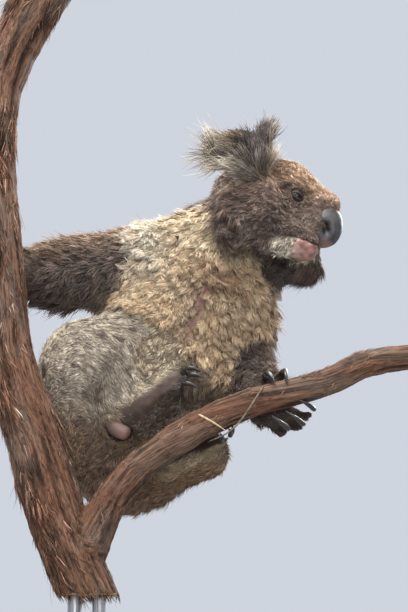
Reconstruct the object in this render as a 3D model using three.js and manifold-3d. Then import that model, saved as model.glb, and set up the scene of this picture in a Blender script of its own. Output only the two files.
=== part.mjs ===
// A life-size adult koala gripping a forked length of gum tree, on a plain display stand.
// Millimetres, +Z up. The animal and its perch are laid out about a point in the fork in front of the
// belly: X runs out along the side branch and Y runs back, away from the side the belly is on.
// Last, all of it is lifted so that the stand's underside is z = 0.
import * as THREE from "three";
import { MarchingCubes } from "three/addons/objects/MarchingCubes.js";
import { mergeVertices } from "three/addons/utils/BufferGeometryUtils.js";
import Module from "manifold-3d";

const wasm = await Module();
wasm.setup();

// ---------------------------------------------------------------- driving dimensions
const GAP = 0.3; // clearance between touching pieces
const BODY_CELL = 25; // grid of the body's surface
const HEAD_CELL = 14; // finer grid of the head's surface

const BLEND = { body: 26, head: 13 }; // how softly neighbouring muscles run together

const STAND = {
  base: { x: 420, y: 340, z: 18, corner: 40, bevel: 3, middle: { x: -75, y: 100 } },
  rod: { radius: 8, apart: 30, socket: 20, seat: 12, clear: 140 }, // clear: bare rod between base and perch
};

// ---------------------------------------------------------------- small helpers
const v = (x, y, z) => new THREE.Vector3(x, y, z);
const mix = (a, b, t) => a + (b - a) * t;
const clamp01 = (t) => Math.min(1, Math.max(0, t));
const rad = THREE.MathUtils.degToRad;

// A closed solid from a geometry whose shared corners are merged.
function solid(geometry) {
  const bare = geometry.clone();
  for (const name of Object.keys(bare.attributes)) if (name !== "position") bare.deleteAttribute(name);
  const merged = mergeVertices(bare, 1e-3);
  return new wasm.Manifold(
    new wasm.Mesh({
      numProp: 3,
      vertProperties: new Float32Array(merged.attributes.position.array),
      triVerts: new Uint32Array(merged.index.array),
    }),
  );
}

// Back from a solid to a geometry that a mesh can show.
function geometryOf(made) {
  const mesh = made.getMesh();
  const geometry = new THREE.BufferGeometry();
  const places = new Float32Array(mesh.numVert * 3);
  for (let i = 0; i < mesh.numVert; i++) {
    places.set(mesh.vertProperties.subarray(i * mesh.numProp, i * mesh.numProp + 3), i * 3);
  }
  geometry.setAttribute("position", new THREE.BufferAttribute(places, 3));
  geometry.setIndex(new THREE.BufferAttribute(mesh.triVerts, 1));
  geometry.computeVertexNormals();
  return geometry;
}

// The piece of a solid that holds most of it, without the crumbs a cut leaves.
const largest = (made) => made.decompose().sort((a, b) => b.volume() - a.volume())[0];
const union = (solids) => solids.reduce((all, next) => all.add(next));

// ---------------------------------------------------------------- distance functions
// Each returns the distance from a point to a rounded form, below zero inside it.
const ball = (c, r) => (p) => p.distanceTo(c) - r;

// A limb: two balls and the cone between them.
function limb(a, b, ra, rb) {
  const axis = b.clone().sub(a);
  const length2 = axis.lengthSq();
  return (p) => {
    const t = clamp01(p.clone().sub(a).dot(axis) / length2);
    return p.distanceTo(a.clone().addScaledVector(axis, t)) - mix(ra, rb, t);
  };
}

function egg(c, r) {
  return (p) => {
    const q = p.clone().sub(c);
    const k0 = q.clone().divide(r).length();
    const k1 = q.clone().divide(r).divide(r).length();
    return k1 < 1e-9 ? -Math.min(r.x, r.y, r.z) : (k0 * (k0 - 1)) / k1;
  };
}

// Forms run together over a distance k, as muscle and coat do.
function melt(forms, k) {
  return (p) =>
    forms
      .map((form) => form(p))
      .reduce((a, b) => {
        const h = Math.max(k - Math.abs(a - b), 0) / k;
        return Math.min(a, b) - (h * h * k) / 4;
      });
}

const bothSides = (make) => [make(-1), make(1)];

// ---------------------------------------------------------------- the head, in its own frame
// X forward to the nose, Y to its left, Z up, origin between the ears and the jaw.
const headForm = melt(
  [
    egg(v(-5, 0, 3), v(58, 60, 58)), // cranium
    egg(v(29, 0, 22), v(48, 44, 48)), // forehead
    limb(v(48, 0, 23), v(92, 0, 0), 30, 20), // bridge of the nose
    limb(v(35, 0, -24), v(73, 0, -32), 40, 24), // muzzle
    ...bothSides((s) => egg(v(0, s * 38, -30), v(46, 32, 42))), // cheeks
    ...bothSides((s) => egg(v(-10, s * 36, -60), v(34, 25, 29))), // ruff under the jaw
    ...bothSides((s) => egg(v(42, s * 30, -70), v(35, 20, 27))), // jowls
    ...bothSides((s) => egg(v(66, s * 23, -77), v(24, 17, 20))), // lower lips
    egg(v(62, 0, -64), v(24, 21, 19)), // chin
  ],
  BLEND.head,
);

const HEAD = { at: v(68, 70, 147), rollDeg: 19, nodDeg: 1.5, yawDeg: 7 };
const EAR = {
  at: v(-10, 70, 34),
  size: v(42, 16, 40),
  flareDeg: 28,
  tip: { at: v(13, 64, 60), size: v(14, 8, 24) }, // the pointed upper front corner
};
const EYE = { at: v(54, 29, -4), radius: 8 };
const NOSE = { at: v(89, 0, -30), size: v(25, 18.5, 33) };
const headPlace = new THREE.Object3D();
headPlace.position.copy(HEAD.at);
headPlace.rotation.set(-rad(HEAD.rollDeg), rad(HEAD.nodDeg), -rad(HEAD.yawDeg), "ZYX");
headPlace.updateMatrixWorld(true);
const onHead = (x, y, z) => v(x, y, z).applyMatrix4(headPlace.matrixWorld);

// ---------------------------------------------------------------- the body's landmarks, in the fork's frame
const AT = {
  throat: v(-4, 108, 97),
  nape: v(42, 84, 127),
  chest: v(-3, 110, 34),
  belly: v(-62, 115, -49),
  pelvis: v(-96, 113, -152),
  back: v(-45, 147, -20),
};
const R = {
  shoulder: v(-72, 113, 86),
  elbow: v(-183, 127, 71),
  wrist: v(-263, 68, 62),
  palm: v(-253, 47, 57),
  hip: v(-150, 102, -149),
  knee: v(-148, 51, -68),
  shin: v(-123, 39, -77),
  ankle: v(-103, 33, -122),
};
const L = {
  shoulder: v(46, 98, 41),
  elbow: v(55, 139, -21),
  wrist: v(67, 65, -92),
  palm: v(85, 43, -110),
  hip: v(-84, 104, -167),
  knee: v(2, 55, -179),
  shin: v(-8, 57, -179),
  ankle: v(-51, 45, -189),
};

// Stretches of limb: the two ends, the thickness at each, and how far past each end the cut reaches.
const LIMBS = {
  right_shank: { ends: [R.shin, R.ankle], r: [42, 33], past: [0, 30] },
  left_shank: { ends: [L.shin, L.ankle], r: [30, 24], past: [8, 20] },
  right_forearm: { ends: [R.elbow, R.wrist], r: [45, 28], past: [0, 40] },
  left_forearm: { ends: [L.elbow, L.wrist], r: [36, 34], past: [0, 40] },
  right_upper_arm: { ends: [R.shoulder, R.elbow], r: [52, 47], past: [4, 50] },
  left_upper_arm: { ends: [L.shoulder, L.elbow], r: [46, 36], past: [10, 44] },
  right_thigh: { ends: [R.hip, R.knee], r: [66, 66], past: [34, 70] },
  left_thigh: { ends: [L.hip, L.knee], r: [76, 34], past: [0, 40] },
  neck: { ends: [AT.throat, AT.nape], r: [62, 54], past: [14, 70] },
};
const CUT_MARGIN = 7; // the cuts stand this far off the limb's own form

const bodyForm = melt(
  [
    egg(AT.chest, v(89, 84, 80)),
    egg(AT.belly, v(98, 92, 100)),
    egg(AT.pelvis, v(92, 86, 99)),
    egg(AT.back, v(88, 66, 150)),
    ...Object.values(LIMBS).map(({ ends, r }) => limb(ends[0], ends[1], r[0], r[1])),
    limb(R.wrist, R.palm, 20, 18),
    limb(L.wrist, L.palm, 20, 16),
    limb(v(62, 28, -137), v(86, 31, -137), 17, 15), // heel of the left hand, under the branch
    limb(v(84, 45, -106), v(88, 38, -134), 19, 17), // back of the left hand, behind the branch
    limb(v(-93, 32, -140), v(-44, 26, -94), 18, 11), // right foot, outer edge of the sole
    limb(v(-89, 22, -143), v(-48, 15, -107), 15, 10), // right foot, inner edge
    limb(v(-55, 25, -203), v(4, 20, -177), 14, 11), // left foot, flat under the branch
  ],
  BLEND.body,
);

// ---------------------------------------------------------------- from a distance function to a surface
// Marching cubes finds it, then its corners are evened out and put back on the true surface.
function surface(form, low, high, cell) {
  const centre = low.clone().add(high).multiplyScalar(0.5);
  const span = high.clone().sub(low);
  const grid = Math.ceil(Math.max(span.x, span.y, span.z) / cell) + 4;
  const cubes = new MarchingCubes(grid, new THREE.MeshBasicMaterial(), false, false, 40000);
  cubes.isolation = 0;
  const half = (grid / 2) * cell;
  const at = (i) => (i - grid / 2) * cell;
  for (let k = 0; k < grid; k++) {
    for (let j = 0; j < grid; j++) {
      for (let i = 0; i < grid; i++) {
        const d = form(v(at(i), at(j), at(k)).add(centre));
        const off = Math.max(Math.abs(d), cell * 0.12) * (d < 0 ? 1 : -1); // no corner lies on the surface
        cubes.field[(k * grid + j) * grid + i] = off;
      }
    }
  }
  cubes.update();
  const places = cubes.positionArray.slice(0, cubes.count * 3).map((x) => x * half);
  const loose = new THREE.BufferGeometry();
  loose.setAttribute("position", new THREE.BufferAttribute(places, 3));
  loose.translate(centre.x, centre.y, centre.z);
  const mesh = mergeVertices(loose, 1e-2);
  evenOut(mesh, form, 4);
  return mesh;
}

function evenOut(mesh, form, rounds) {
  const spots = mesh.attributes.position;
  const near = Array.from({ length: spots.count }, () => new Set());
  const index = mesh.index.array;
  for (let t = 0; t < index.length; t += 3) {
    for (let e = 0; e < 3; e++) {
      near[index[t + e]].add(index[t + ((e + 1) % 3)]);
      near[index[t + ((e + 1) % 3)]].add(index[t + e]);
    }
  }
  const step = 0.5;
  for (let round = 0; round < rounds; round++) {
    const now = Array.from({ length: spots.count }, (_, i) => v().fromBufferAttribute(spots, i));
    now.forEach((p, i) => {
      const mean = v(0, 0, 0);
      near[i].forEach((n) => mean.add(now[n]));
      const q = p.clone().lerp(mean.divideScalar(near[i].size), 0.6);
      for (let settle = 0; settle < 2; settle++) {
        const slope = v(
          form(q.clone().add(v(step, 0, 0))) - form(q.clone().add(v(-step, 0, 0))),
          form(q.clone().add(v(0, step, 0))) - form(q.clone().add(v(0, -step, 0))),
          form(q.clone().add(v(0, 0, step))) - form(q.clone().add(v(0, 0, -step))),
        ).divideScalar(2 * step);
        q.addScaledVector(slope, -form(q) / Math.max(slope.lengthSq(), 0.2));
      }
      spots.setXYZ(i, q.x, q.y, q.z);
    });
  }
}

// ---------------------------------------------------------------- swept pieces
// A capped tube along a smooth curve: stations are [point, radius], sides its facets round.
function sweep(stations, sides, steps, grow = 0, wobble = () => 0) {
  const curve = new THREE.CatmullRomCurve3(stations.map((s) => s[0]), false, "centripetal");
  const radii = stations.map((s) => s[1]);
  const tube = new THREE.CylinderGeometry(1, 1, 1, sides, steps);
  const frames = curve.computeFrenetFrames(steps, false);
  const spots = tube.attributes.position;
  for (let i = 0; i < spots.count; i++) {
    const p = v().fromBufferAttribute(spots, i);
    const t = 0.5 - p.y;
    const k = Math.round(t * steps);
    const along = t * (radii.length - 1);
    const low = Math.min(Math.floor(along), radii.length - 2);
    const r = mix(radii[low], radii[low + 1], along - low) + grow;
    const turn = Math.atan2(p.z, p.x);
    const reach = Math.hypot(p.x, p.z) * (r + wobble(turn, t));
    const q = curve
      .getPointAt(t)
      .addScaledVector(frames.normals[k], Math.cos(turn) * reach)
      .addScaledVector(frames.binormals[k], Math.sin(turn) * reach);
    if (grow && k === 0) q.addScaledVector(frames.tangents[0], -grow);
    if (grow && k === steps) q.addScaledVector(frames.tangents[steps], grow);
    spots.setXYZ(i, q.x, q.y, q.z);
  }
  const made = solid(tube);
  return made.volume() < 0 ? solid(turnedOut(tube)) : made;
}

function turnedOut(geometry) {
  const index = geometry.index.array;
  for (let t = 0; t < index.length; t += 3) [index[t], index[t + 1]] = [index[t + 1], index[t]];
  return geometry;
}

// A digit or a soft bulb: a ball drawn out along a curve.
function drawnOut(points, radius, tip = 0.75, sides = 6, steps = 5) {
  const curve = new THREE.CatmullRomCurve3(points);
  const form = new THREE.SphereGeometry(1, sides, steps);
  const spots = form.attributes.position;
  const frames = curve.computeFrenetFrames(64, false);
  for (let i = 0; i < spots.count; i++) {
    const p = v().fromBufferAttribute(spots, i);
    const t = clamp01((1 - p.y) / 2);
    const k = Math.round(t * 64);
    const r = radius * mix(1, tip, t);
    const swell = Math.hypot(p.x, p.z) < 1e-6 ? 0 : Math.pow(Math.hypot(p.x, p.z), 0.5);
    const turn = Math.atan2(p.z, p.x);
    const q = curve
      .getPointAt(t)
      .addScaledVector(frames.normals[k], Math.cos(turn) * r * swell)
      .addScaledVector(frames.binormals[k], Math.sin(turn) * r * swell);
    spots.setXYZ(i, q.x, q.y, q.z);
  }
  const made = solid(form);
  return made.volume() < 0 ? solid(turnedOut(form)) : made;
}

// A straight-sided cutter about a stretch of limb.
function prism({ ends, r, past }, grow = 0, sides = 7) {
  const along = ends[1].clone().sub(ends[0]);
  const length = along.length() + past[0] + past[1] + 2 * grow;
  const rod = new THREE.CylinderGeometry(r[1] + CUT_MARGIN + grow, r[0] + CUT_MARGIN + grow, length, sides);
  rod.translate(0, length / 2 - past[0] - grow, 0);
  rod.applyQuaternion(new THREE.Quaternion().setFromUnitVectors(v(0, 1, 0), along.normalize()));
  rod.translate(ends[0].x, ends[0].y, ends[0].z);
  return solid(rod);
}

// A box-shaped cutter: its middle, its three sizes and its turn about Y in degrees.
function box({ at, size, turnDeg = 0 }, grow = 0) {
  const form = new THREE.BoxGeometry(size.x + 2 * grow, size.y + 2 * grow, size.z + 2 * grow);
  form.rotateY(rad(turnDeg));
  form.translate(at.x, at.y, at.z);
  return solid(form);
}

// ---------------------------------------------------------------- the perch
const grain = (turn, t) => 1.4 * Math.sin(3 * turn + 9 * t) + 0.9 * Math.sin(7 * turn - 14 * t);
const TRUNK = [
  [v(-121, 0, -394), 34],
  [v(-137, 0, -362), 35],
  [v(-153, 0, -327), 36],
  [v(-171, 0, -289), 37],
  [v(-187, 0, -245), 35],
  [v(-206, 0, -181), 31],
  [v(-226, 0, -118), 29],
  [v(-243, 0, -56), 29],
  [v(-252, 0, 20), 29],
  [v(-259, 0, 98), 28],
  [v(-266, 0, 187), 26.5],
  [v(-267, 0, 240), 26.5],
  [v(-261, 0, 292), 28],
  [v(-244, 0, 343), 31],
  [v(-218, 0, 396), 34],
  [v(-191, 0, 448), 36],
];
const BRANCH = [
  [v(-155, 0, -341), 29],
  [v(-137, 0, -290), 26],
  [v(-116, 0, -244), 21],
  [v(-88, 0, -208), 19],
  [v(-48, 0, -177), 20],
  [v(0, 0, -148), 19],
  [v(61, 0, -122), 18],
  [v(106, 0, -111), 17],
  [v(149, 0, -99), 17],
  [v(206, 0, -72), 16.5],
  [v(264, 0, -63), 16.5],
];
function perch(grow) {
  return sweep(TRUNK, 12, 20, grow, grain).add(sweep(BRANCH, 10, 15, grow, grain));
}
const forkClear = perch(GAP);

// ---------------------------------------------------------------- digits and claws
// Points on a ring about a length of the perch: turn 0 is behind it, 90 to its left.
function ring(centre, turnDeg, reach) {
  const turn = rad(turnDeg);
  return centre.clone().add(v(-Math.sin(turn) * reach, Math.cos(turn) * reach, 0));
}

// The right hand reaches round the trunk from behind: [height, first turn, last turn, thickness].
const trunkAt = (z) => v(mix(-252, -259, (z - 20) / 78), 0, z);
const rightDigits = [
  [88, 10, 66, 8.5],
  [72, 10, 82, 9],
  [50, 14, 100, 9.5],
  [33, 16, 106, 9.5],
  [16, 14, 98, 9],
].map(([z, from, to, r]) => ({
  digit: [v(-250, 50, mix(z, 48, 0.6)), ring(trunkAt(z), mix(from, to, 0.55), 31 + r), ring(trunkAt(z), to, 31 + r)],
  r,
  claw: [ring(trunkAt(z), to + 3, 31 + r * 1.2), ring(trunkAt(z), to + 38, 33)],
  bulge: v(-7, -5, 0),
}));

// The left hand holds the branch from behind: two digits over it, three under it.
const leftDigits = [
  { digit: [v(79, 43, -98), v(77, 26, -84), v(76, 7, -88)], r: 9, claw: [v(76, 1, -84), v(87, -15, -100)], bulge: v(2, -8, 4) },
  { digit: [v(91, 41, -97), v(98, 25, -80), v(99, 5, -85)], r: 9, claw: [v(100, -1, -81), v(102, -16, -101)], bulge: v(0, -8, 4) },
  { digit: [v(93, 37, -117), v(122, 26, -136), v(135, 6, -134)], r: 10.5, claw: [v(137, -2, -132), v(117, -17, -122)], bulge: v(2, -7, 1) },
  { digit: [v(85, 35, -124), v(111, 24, -148), v(122, 3, -152)], r: 10, claw: [v(124, -6, -151), v(100, -16, -135)], bulge: v(3, -8, -2) },
  { digit: [v(77, 31, -131), v(93, 22, -157), v(103, 1, -157)], r: 9.5, claw: [v(105, -7, -157), v(83, -17, -141)], bulge: v(3, -8, -2) },
];

// Each foot has a clawless first toe set across it, a joined pair and two long outer toes.
const rightToes = [
  { digit: [v(-83, 23, -136), v(-75, 22, -153), v(-71, 25, -164)], r: 13 },
  { digit: [v(-51, 16, -110), v(-38, 10, -103), v(-27, 8, -100)], r: 8.5, claw: [v(-24, 5, -97), v(-8, 1, -104)], bulge: v(3, -1, 4) },
  { digit: [v(-50, 22, -99), v(-32, 17, -90), v(-21, 14, -87)], r: 9, claw: [v(-18, 12, -85), v(0, 7, -91)], bulge: v(3, -1, 5) },
  { digit: [v(-50, 29, -92), v(-35, 28, -81), v(-25, 25, -78)], r: 8.5, claw: [v(-22, 23, -75), v(-4, 19, -80)], bulge: v(3, -1, 5) },
];
const leftToes = [
  { digit: [v(-33, 33, -190), v(-28, 41, -174), v(-22, 35, -162)], r: 10 },
  { digit: [v(-2, 14, -182), v(10, 6, -178), v(20, -1, -172)], r: 7.5, claw: [v(22, -5, -170), v(20, -17, -163)], bulge: v(3, -2, -1) },
  { digit: [v(0, 20, -179), v(18, 12, -174), v(30, 5, -166)], r: 8, claw: [v(32, 1, -164), v(30, -13, -156)], bulge: v(4, -2, 0) },
  { digit: [v(-2, 27, -175), v(18, 23, -170), v(32, 16, -162)], r: 8, claw: [v(33, 12, -160), v(35, -2, -151)], bulge: v(4, -1, 1) },
];

const CLAW = { root: 4.3, point: 0.8 };
const clawRadii = [0.95, 0.85, CLAW.point / CLAW.root].map((share) => share * CLAW.root);
function clawOf({ claw: [root, point], bulge }) {
  const bend = root.clone().lerp(point, 0.5).add(bulge);
  const arc = new THREE.QuadraticBezierCurve3(root, bend, point);
  return sweep(clawRadii.map((r, i) => [arc.getPoint(i / (clawRadii.length - 1)), r]), 5, 3);
}

const DIGITS = {
  right_hand: rightDigits,
  left_hand: leftDigits,
  right_foot: rightToes,
  left_foot: leftToes,
};

// ---------------------------------------------------------------- flesh, made whole and then parted
// Everything made in the head's frame is set on the neck by this.
const onNeck = (geometry) => geometry.clone().applyMatrix4(headPlace.matrixWorld);
const headMesh = surface(headForm, v(-75, -80, -98), v(115, 80, 72), HEAD_CELL);

// The same closed surface moved out along its corner normals by a clearance.
function grown(geometry, by) {
  const wider = geometry.clone();
  wider.computeVertexNormals();
  const spots = wider.attributes.position;
  const normals = wider.attributes.normal;
  for (let i = 0; i < spots.count; i++) {
    const p = v().fromBufferAttribute(spots, i);
    p.addScaledVector(v().fromBufferAttribute(normals, i), by);
    spots.setXYZ(i, p.x, p.y, p.z);
  }
  return wider;
}

// A ball drawn out to three radii, turned about Z and set down in the head's frame.
function knob(at, size, sides, rings, turnDeg = 0) {
  const form = new THREE.SphereGeometry(1, sides, rings);
  form.rotateX(Math.PI / 2);
  form.scale(size.x, size.y, size.z);
  form.rotateZ(rad(turnDeg));
  return form.translate(at.x, at.y, at.z);
}
const sideOf = (at, s) => v(at.x, at.y * s, at.z);
function earOf(s, grow) {
  const [lobe, tip] = [EAR, EAR.tip].map(({ at, size }, i) =>
    solid(onNeck(knob(sideOf(at, s), size.clone().addScalar(grow), i ? 7 : 11, i ? 5 : 7, s * -EAR.flareDeg))),
  );
  return lobe.add(tip);
}
const eyeOf = (s, grow) => solid(onNeck(knob(sideOf(EYE.at, s), v(1, 1, 1).multiplyScalar(EYE.radius + grow), 9, 6)));

const faceClear = union([eyeOf(-1, GAP), eyeOf(1, GAP)]);
const skull = solid(onNeck(headMesh)).simplify(0.8);
const head = skull.subtract(faceClear);
const headClear = solid(onNeck(grown(headMesh, 2 * GAP)));
const nose = solid(onNeck(knob(NOSE.at, NOSE.size, 12, 9))).subtract(headClear);
const SIDES = { right: -1, left: 1 };
const face = { head, nose: largest(nose) };
for (const [side, s] of Object.entries(SIDES)) {
  face[`ear_${side}`] = largest(earOf(s, 0).subtract(headClear));
  face[`eye_${side}`] = eyeOf(s, 0);
}
const earsClear = union([earOf(-1, GAP), earOf(1, GAP)]);

const scrotumPoints = [v(-120, 29, -135), v(-106, 17, -152), v(-92, 13, -161)];
const scrotumOf = (grow) => drawnOut(scrotumPoints, 14 + grow, 0.88, 9, 7);

const bodyLow = v(-320, -30, -300);
const bodyHigh = v(140, 250, 215);
const digitSolids = Object.values(DIGITS).flat().map(({ digit, r }) => drawnOut(digit, r));
const whole = solid(surface(bodyForm, bodyLow, bodyHigh, BODY_CELL)).simplify(1.2);
let rest = union([whole, ...digitSolids]).subtract(union([forkClear, headClear, earsClear, scrotumOf(GAP)]));

// Hands and feet are parted first, by boxes that hold their digits too.
const ENDS = {
  right_hand: { at: v(-269, 20, 51), size: v(110, 100, 120) },
  left_hand: { at: v(99, 20, -119), size: v(110, 66, 96), turnDeg: 0 },
  right_foot: { at: v(-55, 18, -116), size: v(110, 44, 56), turnDeg: -42 },
  left_foot: { at: v(-12, 14, -178), size: v(120, 44, 48), turnDeg: -24 },
};
const parts = {};
function part(name, cutter) {
  parts[name] = largest(rest.intersect(cutter(0))).simplify(0.1);
  rest = rest.subtract(cutter(GAP));
}
for (const [name, cut] of Object.entries(ENDS)) part(name, (grow) => box(cut, grow));
for (const [name, cut] of Object.entries(LIMBS)) part(name, (grow) => prism(cut, grow));
parts.torso = largest(rest).simplify(0.1);
parts.scrotum = largest(scrotumOf(0).subtract(forkClear));

const claws = {};
for (const [name, digits] of Object.entries(DIGITS)) {
  const flesh = union(digits.map(({ digit, r }) => drawnOut(digit, r + GAP)));
  digits.forEach((digit, i) => {
    if (digit.claw) claws[`claw_${name}_${i + 1}`] = largest(clawOf(digit).subtract(flesh).subtract(forkClear));
  });
}

// ---------------------------------------------------------------- the stand
const PERCH_FOOT = -358; // height of the perch's level underside
const trunkEnd = v(-142, 0, PERCH_FOOT);
const rods = [-1, 1].map((s) => v(trunkEnd.x + (s * STAND.rod.apart) / 2, trunkEnd.y, 0));
const baseTop = PERCH_FOOT - STAND.rod.clear;

function rodAt(spot, grow) {
  const { radius, socket, seat } = STAND.rod;
  const length = STAND.rod.clear + socket + seat + 2 * grow;
  const rod = new THREE.CylinderGeometry(radius + grow, radius + grow, length, 16);
  rod.rotateX(Math.PI / 2);
  return solid(rod.translate(spot.x, spot.y, baseTop - seat - grow + length / 2));
}

function slab({ x, y, z, corner, bevel }, middle) {
  const [w, d, c] = [x / 2 - bevel, y / 2 - bevel, corner - bevel];
  const outline = new THREE.Shape();
  outline.moveTo(-w + c, -d).lineTo(w - c, -d).absarc(w - c, -d + c, c, -Math.PI / 2, 0, false);
  outline.lineTo(w, d - c).absarc(w - c, d - c, c, 0, Math.PI / 2, false);
  outline.lineTo(-w + c, d).absarc(-w + c, d - c, c, Math.PI / 2, Math.PI, false);
  outline.lineTo(-w, -d + c).absarc(-w + c, -d + c, c, Math.PI, 1.5 * Math.PI, false);
  const form = new THREE.ExtrudeGeometry(outline, {
    depth: z - 2 * bevel,
    bevelEnabled: true,
    bevelThickness: bevel,
    bevelSize: bevel,
    bevelSegments: 1,
    curveSegments: 3,
  });
  return solid(form.translate(middle.x, middle.y, middle.z + bevel));
}

const sockets = union(rods.map((spot) => rodAt(spot, GAP)));
const nodes = {
  perch_fork: perch(0).trimByPlane([0, 0, 1], PERCH_FOOT).subtract(sockets),
  ...face,
  ...parts,
  ...claws,
  stand_base: slab(STAND.base, v(STAND.base.middle.x, STAND.base.middle.y, baseTop - STAND.base.z)).subtract(sockets),
};
rods.forEach((spot, i) => (nodes[`stand_rod_${i + 1}`] = rodAt(spot, 0)));

// ---------------------------------------------------------------- finishes and the finished group
const FINISH = {
  coat: { color: 0x85796b, roughness: 0.95, metalness: 0 },
  face: { color: 0x8c7361, roughness: 0.9, metalness: 0 },
  bark: { color: 0x8d6248, roughness: 0.9, metalness: 0 },
  nose: { color: 0x3f4146, roughness: 0.6, metalness: 0 },
  eye: { color: 0x1a120c, roughness: 0.1, metalness: 0 },
  claw: { color: 0x1d1a18, roughness: 0.4, metalness: 0 },
  skin: { color: 0xa8877b, roughness: 0.7, metalness: 0 },
  board: { color: 0x4a4540, roughness: 0.5, metalness: 0 },
  steel: { color: 0xb4b6b8, roughness: 0.35, metalness: 1 },
};
const FINISH_OF = [
  [/^perch/, "bark"],
  [/^head|^ear/, "face"],
  [/^eye/, "eye"],
  [/^nose/, "nose"],
  [/^claw/, "claw"],
  [/^scrotum/, "skin"],
  [/^stand_base/, "board"],
  [/^stand_rod/, "steel"],
  [/./, "coat"],
];

const kit = new THREE.Group();
const bounds = new THREE.Box3();
for (const [name, made] of Object.entries(nodes)) {
  const finish = FINISH[FINISH_OF.find(([pattern]) => pattern.test(name))[1]];
  const mesh = new THREE.Mesh(geometryOf(made), new THREE.MeshStandardMaterial(finish));
  mesh.name = name;
  kit.add(mesh);
  bounds.expandByObject(mesh);
}
const middle = bounds.getCenter(v());
kit.position.set(-middle.x, -middle.y, -bounds.min.z);

export default kit;
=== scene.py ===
# %% [markdown]
# # A koala in the fork of a gum tree
# This lesson dresses a life-size koala. Its solid shape was made elsewhere, as facets, and is loaded here
# as a fixed frame. Over it go one skin, a coat of many small tufts, a face, claws, bark and a stand.
# Everything is in metres, +Z is up, and the koala looks along +X.

# %% Load the frame
import math
import bmesh
import bpy
import numpy as np
from mathutils import Euler, Matrix, Vector, noise as smooth_noise
from mathutils.bvhtree import BVHTree
from mathutils.kdtree import KDTree


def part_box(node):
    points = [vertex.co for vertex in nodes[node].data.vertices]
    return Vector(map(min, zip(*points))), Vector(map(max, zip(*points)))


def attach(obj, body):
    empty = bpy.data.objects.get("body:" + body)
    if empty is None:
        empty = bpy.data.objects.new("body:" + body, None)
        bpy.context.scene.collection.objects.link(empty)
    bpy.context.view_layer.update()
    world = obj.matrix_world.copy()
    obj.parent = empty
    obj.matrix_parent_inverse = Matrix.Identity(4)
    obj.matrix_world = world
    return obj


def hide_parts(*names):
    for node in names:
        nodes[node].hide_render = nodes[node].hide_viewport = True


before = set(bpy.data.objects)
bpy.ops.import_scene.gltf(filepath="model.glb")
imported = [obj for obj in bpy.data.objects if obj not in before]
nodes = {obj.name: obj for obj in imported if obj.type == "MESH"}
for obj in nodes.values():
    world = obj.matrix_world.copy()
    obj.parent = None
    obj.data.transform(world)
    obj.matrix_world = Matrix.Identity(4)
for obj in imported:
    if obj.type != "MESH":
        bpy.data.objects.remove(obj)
bpy.context.view_layer.update()

# %% [markdown]
# The solids were laid out in millimetres about a point in front of the belly, where the two branches part.
# Measuring from that same point keeps the numbers short. Its place is read off the stand's board, so it
# stays right if the whole model is packed again a little to one side. The head has a frame of its own,
# turned and rolled a little, so that left and right stay mirror images there: X to the nose, Y to the
# animal's left, Z to the crown.

# %% The two frames of reference
MM = 0.001
board_low, board_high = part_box("stand_base")
board_middle = (board_low + board_high) / 2
FORK = Vector((board_middle.x + 0.075, board_middle.y - 0.100, board_high.z + 0.498))


def spot(x, y, z):
    """A point given in millimetres from the fork, in the room's metres."""
    return FORK + Vector((x, y, z)) * MM


HEAD_TURN = Euler((math.radians(-19), math.radians(1.5), math.radians(-7)), "XYZ").to_matrix()
HEAD_MIDDLE = spot(68, 70, 147)
print("fork at", tuple(round(c, 3) for c in FORK), "head at", tuple(round(c, 3) for c in HEAD_MIDDLE))

# %% [markdown]
# ## Camera, floor and light
# The camera stands low and looks up at the koala, with a long lens that hardly bends the proportions.
# The picture is upright, 408 by 612, and its width takes in 510 mm at the fork.

# %% The camera
CAMERA_RISE = math.radians(12)
CAMERA_AWAY = 2.3
VIEW_WIDTH = 0.510

lens = bpy.data.cameras.new("camera_low")
lens.sensor_fit = "HORIZONTAL"
lens.sensor_width = 36
lens.lens = 36 * CAMERA_AWAY / VIEW_WIDTH
camera = bpy.data.objects.new("camera_low", lens)
bpy.context.scene.collection.objects.link(camera)
looking = Vector((0, math.cos(CAMERA_RISE), math.sin(CAMERA_RISE)))
camera.location = FORK - looking * CAMERA_AWAY
camera.rotation_euler = looking.to_track_quat("-Z", "Y").to_euler()
bpy.context.scene.camera = camera
print("camera", round(camera.location.z, 3), "m above the floor, lens", round(lens.lens), "mm")

# %% [markdown]
# Soft light suits fur: a pale room fills every side, a wide panel overhead stands for an open sky, and a
# lamp behind makes the coat's edge glow, as low sun does. Two weaker panels lift the back and the front.

# %% The floor and the lights
bpy.context.scene.view_settings.view_transform = "Standard"
room = bpy.data.worlds.new("pale_room")
bpy.context.scene.world = room
room.use_nodes = True
room.node_tree.nodes["Background"].inputs["Color"].default_value = (0.83, 0.88, 0.97, 1)
room.node_tree.nodes["Background"].inputs["Strength"].default_value = 0.75


def panel(name, place, target, size, power, colour):
    light = bpy.data.lights.new(name, "AREA")
    light.shape = "DISK"
    light.size = size
    light.energy = power
    light.color = colour
    lamp = bpy.data.objects.new(name, light)
    bpy.context.scene.collection.objects.link(lamp)
    lamp.location = place
    lamp.rotation_euler = (target - place).to_track_quat("-Z", "Y").to_euler()
    return lamp


aim = spot(-30, 90, 0)
panel("sky_panel", spot(-300, -500, 1900), aim, 1.2, 74, (1.0, 0.97, 0.92))
panel("rim_panel", spot(900, 1500, 900), aim, 0.8, 52, (1.0, 0.96, 0.90))
panel("back_panel", spot(-1100, 1300, 700), aim, 0.8, 30, (0.98, 0.98, 1.0))
panel("front_panel", spot(300, -2300, 500), aim, 1.2, 25, (1.0, 0.96, 0.92))

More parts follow.
